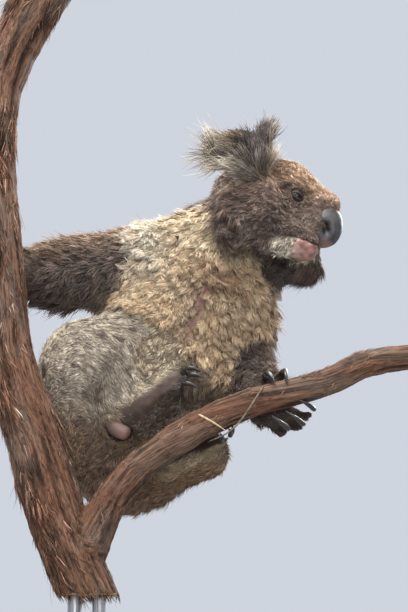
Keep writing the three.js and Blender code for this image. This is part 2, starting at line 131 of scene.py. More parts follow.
floor_mesh = bpy.data.meshes.new("studio_floor")
build = bmesh.new()
bmesh.ops.create_circle(build, cap_ends=True, segments=64, radius=9.0)
build.to_mesh(floor_mesh)
build.free()
studio_floor = bpy.data.objects.new("studio_floor", floor_mesh)
bpy.context.scene.collection.objects.link(studio_floor)
floor_paint = bpy.data.materials.new("floor_paint")
floor_paint.use_nodes = True
floor_paint.node_tree.nodes["Principled BSDF"].inputs["Base Color"].default_value = (0.27, 0.27, 0.27, 1)
floor_paint.node_tree.nodes["Principled BSDF"].inputs["Roughness"].default_value = 0.9
floor_mesh.materials.append(floor_paint)
print("lights and floor set")

# %% [markdown]
# ## The skin
# The frame's flesh is parted into a torso, limbs, a neck and a head, with thin gaps. A real hide has no
# gaps, so the parts are swelled a hair's breadth, joined and remeshed into one closed surface. Facets are
# then smoothed away. Remeshing forgets which part a place belonged to, so each corner of the skin looks up
# the nearest facet of the frame and keeps a soft share of each region, to be used for the coat.

# %% Join the flesh into one closed surface
FLESH = {
    "head": ["head"],
    "ear": ["ear_left", "ear_right"],
    "neck": ["neck"],
    "torso": ["torso"],
    "arm": ["left_upper_arm", "right_upper_arm", "left_forearm", "right_forearm"],
    "leg": ["left_thigh", "right_thigh", "left_shank", "right_shank"],
    "paw": ["left_hand", "right_hand", "left_foot", "right_foot"],
}
REGIONS = list(FLESH)
VOXEL = 0.0030


def merged_copy(node_name, swell):
    """A welded copy of a node's mesh in a bmesh, with its corners pushed out by a little."""
    shape = bmesh.new()
    shape.from_mesh(nodes[node_name].data)
    bmesh.ops.remove_doubles(shape, verts=shape.verts, dist=1e-5)
    shape.normal_update()
    for corner in shape.verts:
        corner.co += corner.normal * swell
    return shape


flesh_mesh = bpy.data.meshes.new("flesh_whole")
whole = bmesh.new()
face_region = []
for region_index, region_name in enumerate(REGIONS):
    for node_name in FLESH[region_name]:
        shape = merged_copy(node_name, 0.0005)
        piece = bpy.data.meshes.new("part")
        shape.to_mesh(piece)
        face_region += [region_index] * len(piece.polygons)
        whole.from_mesh(piece)
        shape.free()
        bpy.data.meshes.remove(piece)
whole.to_mesh(flesh_mesh)
flesh_tree = BVHTree.FromBMesh(whole)
whole.free()
hide = bpy.data.objects.new("hide", flesh_mesh)
bpy.context.scene.collection.objects.link(hide)
print("flesh joined:", len(flesh_mesh.polygons), "faces")


# %% Remesh and smooth it
def apply_modifiers(thing):
    bpy.context.view_layer.update()
    finished = bpy.data.meshes.new_from_object(thing.evaluated_get(bpy.context.evaluated_depsgraph_get()))
    old = thing.data
    thing.modifiers.clear()
    thing.data = finished
    bpy.data.meshes.remove(old)


remesh = hide.modifiers.new("remesh", "REMESH")
remesh.mode = "VOXEL"
remesh.voxel_size = VOXEL
relax = hide.modifiers.new("relax", "SMOOTH")
relax.factor = 0.5
relax.iterations = 8
apply_modifiers(hide)
print("hide:", len(hide.data.vertices), "corners")

# %% [markdown]
# The face needs finer folds than the back, so only the front of the head is divided once more. Measuring
# in the head's own frame makes that a plain test of X, Y and Z.

# %% Divide the face more finely
FACE_FROM, FACE_HALF_WIDTH, FACE_LOW, FACE_HIGH = 22, 62, -92, 66


def to_head(places):
    """Places in metres as millimetres in the head's frame, for a whole array at once."""
    return ((places - np.array(HEAD_MIDDLE)) / MM) @ np.array(HEAD_TURN)


fine = bmesh.new()
fine.from_mesh(hide.data)
bmesh.ops.triangulate(fine, faces=fine.faces)
local = to_head(np.array([corner.co for corner in fine.verts]))
is_face = (local[:, 0] > FACE_FROM) & (np.abs(local[:, 1]) < FACE_HALF_WIDTH)
is_face &= (local[:, 2] > FACE_LOW) & (local[:, 2] < FACE_HIGH)
face_edges = [edge for edge in fine.edges if is_face[edge.verts[0].index] and is_face[edge.verts[1].index]]
bmesh.ops.subdivide_edges(fine, edges=face_edges, cuts=1, smooth=0.6)
bmesh.ops.triangulate(fine, faces=fine.faces)
fine.to_mesh(hide.data)
fine.free()
print("hide with a finer face:", len(hide.data.vertices), "corners")


# %% The skin as arrays: places, neighbours, normals and shares of each region
def corners_of(mesh):
    flat = np.empty(len(mesh.vertices) * 3, np.float32)
    mesh.vertices.foreach_get("co", flat)
    return flat.reshape(-1, 3).astype(float)


def normals_of(mesh):
    flat = np.empty(len(mesh.vertices) * 3, np.float32)
    mesh.vertex_normals.foreach_get("vector", flat)
    return flat.reshape(-1, 3).astype(float)


def unit(vectors):
    return vectors / np.maximum(np.linalg.norm(vectors, axis=-1, keepdims=True), 1e-9)


skin_place = corners_of(hide.data)
skin_normal = normals_of(hide.data)
skin_edges = np.empty(len(hide.data.edges) * 2, np.int32)
hide.data.edges.foreach_get("vertices", skin_edges)
skin_edges = skin_edges.reshape(-1, 2)
ends = np.concatenate([skin_edges[:, 0], skin_edges[:, 1]])
others = np.concatenate([skin_edges[:, 1], skin_edges[:, 0]])
neighbour_count = np.maximum(np.bincount(ends, minlength=len(skin_place)), 1)


def soften(values, rounds):
    """Averages a value at each corner with its neighbours', a few times over."""
    columns = [column.astype(float) for column in np.atleast_2d(values.T)]
    for _ in range(rounds):
        for i, column in enumerate(columns):
            total = np.bincount(ends, weights=column[others], minlength=len(column))
            columns[i] = 0.5 * column + 0.5 * total / neighbour_count
    return columns[0] if values.ndim == 1 else np.stack(columns, axis=1)


share = np.zeros((len(skin_place), len(REGIONS)))
for i, place in enumerate(skin_place):
    face = flesh_tree.find_nearest(Vector(place))[2]
    share[i, face_region[face]] = 1
share = soften(share, 16) ** 2.5
share /= share.sum(axis=1, keepdims=True)
region = {name: share[:, i] for i, name in enumerate(REGIONS)}
print("shares:", {name: round(float(value.mean()), 2) for name, value in region.items()})

# %% [markdown]
# ## Where things are on the body
# Everything that follows, the coat's colour, its length and the way it lies, is said in terms of a few
# landmarks: joints of the limbs, and places on the head. Soft masks are then made from distances to them.
# This is how a taxidermist's chart works, and it needs no painted image.

# %% Landmarks and soft masks
RIGHT_ARM = [(-72, 113, 86), (-183, 127, 71), (-263, 68, 62), (-253, 47, 57)]
LEFT_ARM = [(46, 98, 41), (55, 139, -21), (67, 65, -92), (85, 43, -110)]
RIGHT_LEG = [(-150, 102, -149), (-148, 51, -68), (-123, 39, -77), (-103, 33, -122)]
LEFT_LEG = [(-84, 104, -167), (2, 55, -179), (-8, 57, -179), (-51, 45, -189)]
RIGHT_FOOT = [(-93, 32, -140), (-44, 26, -94), (-20, 14, -87)]
LEFT_FOOT = [(-55, 25, -203), (4, 20, -177), (31, 10, -165)]
EAR_MIDDLE = np.array((-10, 70, 34))
EYE_MIDDLE = np.array((54, 29, -4))
NOSE_MIDDLE = np.array((89, 0, -30))

P = (skin_place - np.array(FORK)) / MM
H = to_head(skin_place)
H_OUT = np.abs(H[:, 1])
side_of_head = np.sign(H[:, 1])


def ramp(values, low, high):
    """0 at low and 1 at high, with soft ends. High may be less than low."""
    t = np.clip((values - low) / (high - low), 0, 1)
    return t * t * (3 - 2 * t)


def around(points, centre, reach):
    """1 at a centre, fading away over a reach in millimetres, one number or one for each axis."""
    gap = (points - np.array(centre)) / np.array(reach)
    return np.exp(-(gap ** 2).sum(axis=1))


def beside(points, start, end):
    """How far each point is from a straight line between two places."""
    start, end = np.array(start, float), np.array(end, float)
    along = np.clip(((points - start) @ (end - start)) / ((end - start) @ (end - start)), 0, 1)
    return np.linalg.norm(points - start - along[:, None] * (end - start), axis=1)


def beside_chain(points, chain):
    return np.min([beside(points, a, b) for a, b in zip(chain, chain[1:])], axis=0)


def inside(x, z, outline, soft):
    """1 within an outline seen from the front, 0 outside it, with a soft edge some millimetres wide."""
    corners = np.array(outline, float)
    crossings = np.zeros(len(x), bool)
    nearest = np.full(len(x), 1e9)
    for (ax, az), (bx, bz) in zip(corners, np.roll(corners, -1, axis=0)):
        straddles = (az > z) != (bz > z)
        reach = ax + (z - az) / (bz - az if abs(bz - az) > 1e-9 else 1e-9) * (bx - ax)
        crossings ^= straddles & (x < reach)
        square = (bx - ax) ** 2 + (bz - az) ** 2
        along = np.clip(((x - ax) * (bx - ax) + (z - az) * (bz - az)) / square, 0, 1)
        nearest = np.minimum(nearest, np.hypot(x - ax - along * (bx - ax), z - az - along * (bz - az)))
    return ramp(np.where(crossings, nearest, -nearest), -soft, soft)


def mottle(points, size, seed):
    """Smooth blotches between -1 and 1, from a handful of waves that run in many directions."""
    rng = np.random.default_rng(seed)
    total = np.zeros(len(points))
    for _ in range(14):
        heading = unit(rng.normal(size=3))
        wave = size * rng.uniform(0.6, 1.7)
        total += np.sin(points @ heading * 2 * math.pi / wave + rng.uniform(0, 6.28))
    return np.clip(total / 4.5, -1, 1)


print("landmarks set; front of body faces -Y and +X")

# %% [markdown]
# ## Folding the face
# Under its fur a koala's face has a few strong forms: a groove where the mouth closes, a full lower lip, a
# crease under the brow and a hollow round each eye. A sculptor would push these in with a brush. Here each
# is a line or a place in the head's frame, and the skin nearby is pushed in or out by a soft falloff. The
# same moves are made on both sides, so the face stays a pair of halves.

# %% Mouth, lip, brow and eye hollows
MOUTH_LINE = [(94, 0, -66), (92, 12, -70), (88, 24, -76), (81, 34, -79), (68, 42, -77),
              (54, 46, -75), (42, 46, -77)]
BROW_LINE = [(38, 47, -2), (46, 41, 5), (56, 33, 9), (68, 25, 8)]
UNDER_EYE = [(42, 44, -14), (54, 38, -19), (66, 29, -16), (76, 22, -12)]
CHEEK_FOLD = [(-34, 58, -50), (-24, 60, -66), (-10, 56, -84)]

H_PAIR = np.stack([H[:, 0], H_OUT, H[:, 2]], axis=1)
head_part = region["head"]
mouth_gap = beside_chain(H_PAIR, MOUTH_LINE)
brow_gap = beside_chain(H_PAIR, BROW_LINE)
under_eye_gap = beside_chain(H_PAIR, UNDER_EYE)
cheek_gap = beside_chain(H_PAIR, CHEEK_FOLD)
lip_bulge = around(H_PAIR, (72, 26, -90), (18, 20, 12))
push = np.zeros(len(P))
push -= 4.2 * np.exp(-((mouth_gap / 2.6) ** 2))
push += 2.4 * lip_bulge
push += 2.6 * np.exp(-(((brow_gap - 4.5) / 3.5) ** 2)) * ramp(H[:, 2], 0, 8)
push -= 2.2 * np.exp(-((brow_gap / 2.4) ** 2))
push -= 2.2 * np.exp(-((under_eye_gap / 2.4) ** 2))
push += 2.5 * np.exp(-(((cheek_gap - 8) / 4) ** 2)) - 5.0 * np.exp(-((cheek_gap / 3.4) ** 2))
eye_gap = np.linalg.norm(H_PAIR - EYE_MIDDLE, axis=1)
push += 4.2 * np.exp(-(((eye_gap - 12.5) / 4.5) ** 2))
push += 2.4 * around(H_PAIR, (78, 20, -24), (12, 14, 22)) + 2.5 * around(H_PAIR, (88, 8, 6), (12, 16, 9))
push *= head_part
print("face folds from", round(float(push.min()), 1), "to", round(float(push.max()), 1), "mm")

# %% [markdown]
# The frame's surface is the coat's outer surface, so the skin has to lie deeper by as much as the fur is
# thick: hardly at all on the soles, a few millimetres on the face, and about a centimetre on the back.

# %% Sink the skin by the coat's depth
DEPTH = {"head": 4.0, "ear": 4.5, "neck": 8.0, "torso": 8.5, "arm": 7.0, "leg": 6.5, "paw": 2.2}
coat_depth = sum(region[name] * depth for name, depth in DEPTH.items())
muzzle = ramp(H[:, 0], 40, 80) * head_part
coat_depth = coat_depth * (1 - 0.55 * muzzle)
coat_depth = soften(coat_depth, 6)
skin_place = skin_place - skin_normal * ((coat_depth - push) * MM)[:, None]
hide.data.vertices.foreach_set("co", skin_place.astype(np.float32).ravel())
hide.data.update()
skin_normal = normals_of(hide.data)
coat_normal = unit(soften(skin_normal, 5))
P = (skin_place - np.array(FORK)) / MM
H = to_head(skin_place)
H_PAIR = np.stack([H[:, 0], np.abs(H[:, 1]), H[:, 2]], axis=1)
print("skin sunk by", round(float(coat_depth.min()), 1), "to", round(float(coat_depth.max()), 1), "mm")

# %% [markdown]
# ## The markings
# A southern koala is grey-brown above, with warm tips, and cream on its chest. Its arms are darker, the
# front of a bent thigh is pale with dark flecks, and the rump is stained brown from sitting. The soles,
# palms, lower lip and the scent gland on a male's chest are bare. Each marking is a soft mask over the
# skin's corners, laid over the ones before it. Skin and coat share one set of colours, so that fur and
# what shows between it always agree.

# %% Colours of the coat
def tint(code):
    """A colour as it is seen, written in hex, as the linear numbers that Blender works with."""
    seen = np.array([int(code[i:i + 2], 16) / 255 for i in (1, 3, 5)])
    return np.where(seen <= 0.04045, seen / 12.92, ((seen + 0.055) / 1.055) ** 2.4)


ASH_BROWN, DARK_UMBER, WARM_TIP_AND_HIGHLIGHT = tint("#8c7c6d"), tint("#4f4239"), tint("#b99a7d")
CREAM, HONEY, BUFF = tint("#f2dfc0"), tint("#bf9669"), tint("#ddcdb2")
STONE, FLECK, OCHRE = tint("#d6c9b6"), tint("#5f5248"), tint("#937659")
CINNAMON, MOUSE, SOOT_AND_SHADE = tint("#a98a70"), tint("#857064"), tint("#352a26")
SOLE, LIP_PINK, GLAND = tint("#3a2d29"), tint("#94706a"), tint("#85625d")
ARM_UMBER, FOREARM_UMBER, ELBOW_SHADE = tint("#705f55"), tint("#6c5c52"), tint("#2e2520")
WRIST_BUFF, SHOULDER_WHITE_AND_RIM_LIGHT, THROAT_SHADE = tint("#a58f79"), tint("#faf2e2"), tint("#976c42")
GLAND_STAIN_AND_CREASE_SHADE, BELLY_BUFF, LEG_BUFF = tint("#8f6f50"), tint("#bfad93"), tint("#b3a28c")
PAW_UMBER, INSTEP_BUFF, UNDERFOOT = tint("#685a4e"), tint("#cdbfa5"), tint("#54463b")
SOLE_SPECK, TOE_DARK, FINGER_DARK = tint("#5b4a42"), tint("#39332f"), tint("#3a312d")
HEEL_BUFF, CHEEK_GREY, JAW_UMBER = tint("#a89678"), tint("#8f8074"), tint("#4c3f38")
CHIN_CREAM, FAR_CHIN_SHADE, MOUTH_DARK = tint("#eadfc9"), tint("#57483e"), tint("#1e1412")
MUZZLE_GREY, NAPE_BROWN, EAR_UMBER = tint("#6b5a52"), tint("#7d6c5c"), tint("#5a4b44")
EAR_RUFF, EAR_WHITE = tint("#9c8069"), tint("#efe6d3")

colour = np.repeat(ASH_BROWN[None, :], len(P), axis=0)


def paint(mask, shade):
    """Lays a shade over the coat wherever a mask is above 0."""
    global colour
    colour = colour * (1 - mask[:, None]) + shade * mask[:, None]


blotch = mottle(P, 60, 1)
speck = mottle(P, 16, 2)
body = region["torso"] + region["neck"]
front = ramp(P[:, 1], 128, 96)
up = coat_normal[:, 2]

paint(region["arm"], ARM_UMBER)
# The upper side of the arms is paler and warmer: warm hair tips, with a painted highlight where light from
# above catches them.
paint(region["arm"] * ramp(up, 0.1, 0.9) * 0.6, WARM_TIP_AND_HIGHLIGHT)
# Painted shade: the fur on the underside of the arms is darkened.
paint(region["arm"] * ramp(up, 0.0, -0.7) * 0.5, SOOT_AND_SHADE)
paint(body * ramp(P[:, 2], -95, -165) * 0.75, OCHRE)
paint(body * ramp(P[:, 1], 120, 170) * ramp(P[:, 2], -60, -130) * ramp(blotch, -0.1, 0.5) * 0.6, BUFF)
paint(body * ramp(P[:, 1], 110, 150) * ramp(blotch, 0.1, -0.6) * 0.45, DARK_UMBER)

CHEST_OUTLINE = [(3, 146), (-50, 134), (-82, 128), (-97, 108), (-91, 80), (-99, 60), (-114, 26), (-108, 12),
                 (-78, 2), (-30, -26), (-22, -50), (4, -66), (28, -84), (36, -118), (34, -90), (40, -60),
                 (44, -30), (66, -16), (92, -8), (130, 0), (130, 90), (60, 90), (14, 120)]
BELLY_OUTLINE = [(-108, 16), (-78, 4), (-30, -24), (-22, -48), (4, -64), (32, -120), (-20, -140),
                 (-80, -110), (-120, -40)]
chest = inside(P[:, 0], P[:, 2], CHEST_OUTLINE, 7) * ramp(P[:, 1], 145, 120) * (1 - head_part)
chest = chest * (1 - region["paw"]) * (1 - 0.9 * region["leg"])
belly = inside(P[:, 0], P[:, 2], BELLY_OUTLINE, 8) * front * (1 - region["leg"]) * (1 - region["paw"])
paint(belly, BELLY_BUFF)
paint(belly * ramp(speck, 0.0, 0.6) * 0.55, FLECK)
# Painted shade: the lower belly, down among the feet and thighs, is darkened.
paint(belly * ramp(P[:, 2], -70, -105) * 0.8, DARK_UMBER)
paint(chest, CREAM)
# The upper chest by the shoulder is pale fur, made whiter still as a painted highlight where light catches
# the coat's edge.
paint(chest * ramp(P[:, 0], -15, -70) * ramp(P[:, 2], 40, 90) * 0.75, SHOULDER_WHITE_AND_RIM_LIGHT)
paint(chest * ramp(speck, -0.1, 0.7) * 0.3, HONEY)
paint(chest * ramp(P[:, 2], 60, 0) * 0.35, HONEY)
# Painted shade: the middle of the chest, under the chin, is darkened toward brown.
paint(chest * around(P, (25, 60, 55), (52, 90, 24)) * 0.7, THROAT_SHADE)
gland_line = beside_chain(P[:, [0, 2]], [(3, 30), (-4, 12), (-14, -8), (-19, -24)])
gland = np.exp(-((gland_line / 5.5) ** 2)) * front * body
gland_stain = np.exp(-((gland_line / 12) ** 2)) * front * body
# A crease across the chest is darkened as painted shade, and mixed with the real brown stain round the scent
# gland.
crease_line = beside_chain(P[:, [0, 2]], [(3, 32), (24, 36), (52, 30)])
crease_shade = np.exp(-((crease_line / 4) ** 2)) * front * body
paint(np.clip(crease_shade * 0.9 + gland_stain * 0.5, 0, 1), GLAND_STAIN_AND_CREASE_SHADE)
paint(gland, GLAND)
left_arm_part = region["arm"] * ramp(P[:, 0], 0, 30)
paint(left_arm_part * ramp(P[:, 2], -2, -34), FOREARM_UMBER)
paint(left_arm_part * around(P, (48, 70, -44), (16, 60, 26)) * 0.8, ELBOW_SHADE)
paint(left_arm_part * ramp(P[:, 0], 66, 84) * 0.7, WRIST_BUFF)
print("body markings painted")

# %% Legs, hands and feet
thigh_face = region["leg"] * ramp(P[:, 0], -40, -75) * ramp(P[:, 1], 110, 60)
paint(region["leg"], LEG_BUFF)
paint(thigh_face * ramp(P[:, 2], -165, -95), STONE)
paint(thigh_face * ramp(speck, 0.15, 0.8) * 0.4, FLECK)
paint(thigh_face * ramp(mottle(P * np.array((1.0, 1.0, 0.35)), 11, 14), 0.5, 0.85) * 0.8, DARK_UMBER)
paint(region["leg"] * ramp(P[:, 2], -120, -165) * 0.85, OCHRE)
paint(region["leg"] * ramp(P[:, 1], 80, 120) * 0.5, DARK_UMBER)
paint(region["paw"], PAW_UMBER)
paw_edge = 2.5 * mottle(P, 24, 9)
right_foot = region["paw"] * ramp(P[:, 0], 10, -8) * ramp(P[:, 2], -176, -160) * ramp(P[:, 0], -190, -160)
left_foot = region["paw"] * ramp(P[:, 2], -158, -172)
SOLE_LINE = [(-18, 40, -76), (-36, 28, -86), (-49, 14, -98), (-67, 4, -118), (-84, 6, -138)]
# Millimetres past the foot's slanted middle line, toward its sole.
beyond = (P[:, 0] + 49) * 0.62 - (P[:, 2] + 98) * 0.78 + paw_edge
paint(right_foot * ramp(beyond, -2, -12), INSTEP_BUFF)
paint(right_foot * ramp(beyond, -4, 8), UNDERFOOT)
sole_gap = np.minimum(beside_chain(P, SOLE_LINE), np.abs(beyond) * 1.2 + 4)
foot_sole = right_foot * np.exp(-((sole_gap / 9.5) ** 3))
foot_sole = foot_sole + left_foot * ramp(coat_normal @ unit(np.array((-0.3, -0.2, 0.9))), 0.2, 0.6)
left_hand = region["paw"] * ramp(P[:, 0], 20, 40)
fingers = left_hand * ramp(P[:, 1], 34, 20)
palm = np.clip(foot_sole, 0, 1)
paint(palm, SOLE)
paint(palm * ramp(speck, 0, 0.7) * 0.45, SOLE_SPECK)
paint(right_foot * ramp(P[:, 0], -38, -26) * ramp(beyond, -16, -2) * 0.85, TOE_DARK)
paint(fingers * 0.8, FINGER_DARK)
paint(left_foot * ramp(up, 0.3, -0.5) * 0.6, HEEL_BUFF)
print("limbs painted")

# %% The head's markings
x, y_out, z = H_PAIR.T
ear_gap = H_PAIR - EAR_MIDDLE
paint(head_part, MOUSE)
paint(head_part * ramp(z, -25, 25) * ramp(x, -60, 0), CINNAMON)
paint(head_part * ramp(x, 70, 90) * ramp(z, -20, 5) * 0.5, WARM_TIP_AND_HIGHLIGHT)
paint(head_part * ramp(speck, 0.1, 0.7) * 0.35, SOOT_AND_SHADE)
paint(head_part * around(H_PAIR, (56, 34, -4), (17, 12, 11)) * 0.75, DARK_UMBER)
paint(head_part * around(H_PAIR, (70, 30, -38), (18, 16, 14)) * 0.5, CHEEK_GREY)
paint(head_part * around(H_PAIR, (24, 50, -62), (26, 20, 20)) * 0.9, JAW_UMBER)
paint(head_part * around(H_PAIR, (-28, 50, -60), (26, 22, 22)) * 0.7, DARK_UMBER)
# Painted shade: darkened along the fold behind the cheek.
paint(head_part * np.exp(-((cheek_gap / 4.5) ** 2)) * 0.9, SOOT_AND_SHADE)
# Painted shade: darkened along the crease under the brow and the one under the eye.
paint(head_part * np.exp(-((np.minimum(brow_gap, under_eye_gap) / 2.6) ** 2)) * 0.75, SOOT_AND_SHADE)
near_side = ramp(H[:, 1], 7, 0)
chin_zone = head_part * ramp(z, -68, -78) * ramp(mouth_gap, 0.0, 2.5)
chin_zone *= (z < np.interp(x, [42, 68, 81, 94], [-75, -75, -77, -64]))
paint(chin_zone * ramp(x, 20, 34), CHIN_CREAM)
# Painted shade: the chin's far side is darkened.
paint(chin_zone * ramp(x, 8, 20) * (1 - near_side), FAR_CHIN_SHADE)
paint(chin_zone * (1 - near_side) * ramp(x, 96, 84), FAR_CHIN_SHADE)
lip_patch = chin_zone * near_side * around(H_PAIR, (70, 28, -87), (21, 26, 20))
lip_patch = np.clip(lip_patch * 1.9, 0, 1) * ramp(x + 4 * mottle(P, 7, 12), 44, 64) * ramp(y_out, 2, 9)
paint(lip_patch, LIP_PINK)
paint(head_part * np.exp(-((mouth_gap / 3.2) ** 4)), MOUTH_DARK)
paint(head_part * around(H_PAIR, (62, 42, -68), (26, 18, 6)) * 0.6, SOOT_AND_SHADE)
paint(head_part * around(H_PAIR, (90, 14, -46), (9, 8, 14)) * 0.8, MUZZLE_GREY)
paint(head_part * around(H_PAIR, (86, 16, -12), (8, 8, 8)) * 0.6, SOOT_AND_SHADE)
paint(region["neck"] * ramp(P[:, 1], 60, 90), NAPE_BROWN)
paint(region["neck"] * chest, CREAM)

ear = region["ear"]
strands = mottle(ear_gap * np.array((0.2, 1.0, 1.0)), 15, 21)
paint(ear, EAR_UMBER)
paint(ear * ramp(ear_gap[:, 0], 2, -16) * ramp(strands, -0.15, 0.3) * 0.85, BUFF)
paint(ear * around(ear_gap, (-18, 0, 24), (24, 60, 8)) * 0.5, EAR_RUFF)
paint(ear * around(ear_gap, (-12, 0, -24), (24, 60, 9)) * 0.95, EAR_WHITE)
paint(ear * around(ear_gap, (-26, 0, -10), (14, 60, 7)) * 0.75, SOOT_AND_SHADE)
paint(ear * around(ear_gap, (12, 0, 8), (20, 60, 44)) * 0.9, SOOT_AND_SHADE)
paint(ear * ramp(ear_gap[:, 0], 25, 30) * 0.45, BUFF)
paint(head_part * around(ear_gap, (-12, -4, -36), (26, 20, 9)) * 0.75, CREAM)

bare = np.clip(palm + gland * 1.3 + ramp(lip_patch, 0.3, 0.9), 0, 1)
bare = np.maximum(bare, head_part * np.exp(-((mouth_gap / 3.0) ** 4)))
colour = np.clip(soften(colour, 1), 0, 1)
print("head painted; bare share of the skin", round(float(bare.mean()), 3))

# %% [markdown]
# ## The lie of the coat
# Fur grows in streams: back from the nose, down the back and flanks, and along each limb to its toes. The
# streams are said as chains of landmarks. Every corner of the skin takes its way from the chains it is
# near, flattened to the skin's own slope and then evened out with its neighbours.

# %% Comb every part of the skin
def flow(points, chains, reach):
    """The way along the nearest chains, blended where two are about as near."""
    total = np.zeros_like(points)
    for chain in chains:
        for a, b in zip(chain, chain[1:]):
            weight = np.exp(-((beside(points, a, b) / reach) ** 2)) + 1e-9
            total += weight[:, None] * unit(np.array(b, float) - np.array(a, float))
    return unit(total)


limb_out = flow(P, [RIGHT_ARM, LEFT_ARM], 45) * region["arm"][:, None]
limb_out += flow(P, [RIGHT_LEG, LEFT_LEG], 40) * region["leg"][:, None]
limb_out += flow(P, [RIGHT_FOOT, LEFT_FOOT, RIGHT_ARM[1:], LEFT_ARM[2:]], 30) * region["paw"][:, None]
parting = np.sign(P[:, 0] - 20) * front
trunk_way = unit(np.array((-0.30, 0.10, -0.95)) + 0.35 * np.outer(parting, (1, 0, 0)))
face_way = unit(H - np.array((98, 0, -14)))
face_way[:, 2] -= 0.9 * ramp(H[:, 2], -20, -60) * ramp(H[:, 0], 60, 20)
ear_root = np.stack([np.full(len(P), 2.0), side_of_head * 52, np.full(len(P), 8.0)], axis=1)
streaming = ramp(ear_gap[:, 0], 16, 0) * ramp(ear_gap[:, 2], 56, 32)
ear_way = unit(H - ear_root) + np.array((-2.6, 0, -0.7)) * streaming[:, None]
ear_tip = np.stack([np.full(len(P), 22.0), side_of_head * 64, np.full(len(P), 96.0)], axis=1)
pointing = ramp(ear_gap[:, 0], 0, 12) * ramp(ear_gap[:, 2], -6, 16)
ear_way = ear_way * (1 - pointing[:, None]) + 2 * unit(ear_tip - H) * pointing[:, None]
comb = limb_out + trunk_way * body[:, None]
comb += (unit(face_way) @ np.array(HEAD_TURN).T) * head_part[:, None]
comb += (unit(ear_way) @ np.array(HEAD_TURN).T) * region["ear"][:, None]
by_swirl = 0.25 + 0.6 * head_part * (1 - 0.5 * muzzle) + 0.55 * chest - 0.1 * region["leg"]
hanging = region["arm"] * ramp(up, 0.1, -0.6) * ramp(P[:, 0], -40, -90)
comb += np.array((-0.1, -0.1, -1.3)) * hanging[:, None]
comb = unit(soften(comb, 8))
swirl = 0.35 * mottle(P, 26, 5) + by_swirl * mottle(P, 11, 6)
sideways = np.cross(coat_normal, comb)
comb = comb * np.cos(swirl)[:, None] + sideways * np.sin(swirl)[:, None]
comb = unit(comb - coat_normal * (comb * coat_normal).sum(axis=1)[:, None])
print("combed; mean way", comb.mean(axis=0).round(2))

# %% [markdown]
# Length, width, lift and curl change over the body in the same way. A few millimetres of fur cover the
# muzzle, and long locks hang from the forearm, the cheeks and the ears.

# %% Length, width, lift and curl of the tufts
def by_region(**values):
    return sum(region[name] * value for name, value in values.items())


length = by_region(head=10.0, ear=26.0, neck=17.0, torso=17.0, arm=17.0, leg=12.0, paw=8.0)
length += head_part * (-5.6 * ramp(H[:, 0], 20, 84) + 10 * ramp(H[:, 0], 5, -40) * ramp(H[:, 2], 0, -50))
length += 8 * around(H_PAIR, (-36, 48, -62), 24) * head_part
length += 13 * chin_zone * (1 - near_side)
length += 6 * chest + 9 * hanging - 3 * belly
length += region["ear"] * 14 * ramp(ear_gap[:, 0], 0, -26)
length *= 1 - 0.65 * region["ear"] * ramp(ear_gap[:, 2], 4, 24) * ramp(ear_gap[:, 0], 16, 4)
length *= 1 - 0.5 * np.exp(-((gland_line / 15) ** 2)) * front * body
length *= 1 - 0.6 * np.maximum(foot_sole, left_foot * 0.5)
length *= 1 - 0.45 * fingers
length *= 1 + 0.3 * mottle(P, 13, 7)
length *= 1 - 0.35 * head_part * ramp(eye_gap, 17, 10)
length = np.maximum(length, 2.4)
lift = np.radians(by_region(head=26, ear=12, neck=28, torso=26, arm=26, leg=20, paw=18))
lift += np.radians(8) * chest + np.radians(10) * hanging
width = by_region(head=0.72, ear=0.75, neck=0.95, torso=1.0, arm=0.95, leg=0.85, paw=0.75) + 0.1 * chest
width *= 1 - 0.2 * muzzle
curl = 3.1 * chest + 0.5 * body + 0.35 * head_part + 0.5 * region["arm"]
gather = 0.4 + 0.32 * chest + 0.25 * region["arm"] + 0.2 * body * (1 - chest)
gather += 0.15 * region["ear"] + 0.25 * head_part * (1 - muzzle)
patchy = 0.2 + 0.24 * head_part + 0.08 * region["arm"] - 0.12 * region["leg"] - 0.08 * chest
colour *= 1 + (patchy * mottle(P, 9, 8))[:, None]
growth = (1 - ramp(bare, 0.2, 0.7)) * (1 - 0.55 * ramp(P[:, 1], 120, 150) * (1 - head_part - region["ear"]))
print("fur from", round(float(length.min()), 1), "to", round(float(length.max()), 1), "mm long")

# %% [markdown]
# ## Finishes for skin and fur
# Both finishes read the same painted colour, stored on the mesh as an attribute named coat_colour. What
# every fur needs on top, fine streaks of lighter and darker hair and a little unevenness of gloss, is made
# once as a node group and used in each material with its own strength.

# %% A node group for hair streaks
def new_group(name, inputs, outputs):
    group = bpy.data.node_groups.new(name, "ShaderNodeTree")
    for title, kind, default in inputs:
        socket = group.interface.new_socket(name=title, in_out="INPUT", socket_type=kind)
        if default is not None:
            socket.default_value = default
    for title, kind in outputs:
        group.interface.new_socket(name=title, in_out="OUTPUT", socket_type=kind)
    return group, group.nodes.new("NodeGroupInput"), group.nodes.new("NodeGroupOutput")


def node(tree, kind, label=None, **settings):
    made = tree.nodes.new(kind)
    if label:
        made.label = label
    for key, value in settings.items():
        setattr(made, key, value)
    return made


def noise(tree, place, scale, detail=3.0, rough=0.6, stretch=(1, 1, 1)):
    """A noise texture read in a stretched copy of a place."""
    mapping = node(tree, "ShaderNodeMapping")
    mapping.inputs["Scale"].default_value = stretch
    texture = node(tree, "ShaderNodeTexNoise")
    texture.inputs["Scale"].default_value = scale
    texture.inputs["Detail"].default_value = detail
    texture.inputs["Roughness"].default_value = rough
    tree.links.new(place, mapping.inputs["Vector"])
    tree.links.new(mapping.outputs["Vector"], texture.inputs["Vector"])
    return texture.outputs["Fac"]


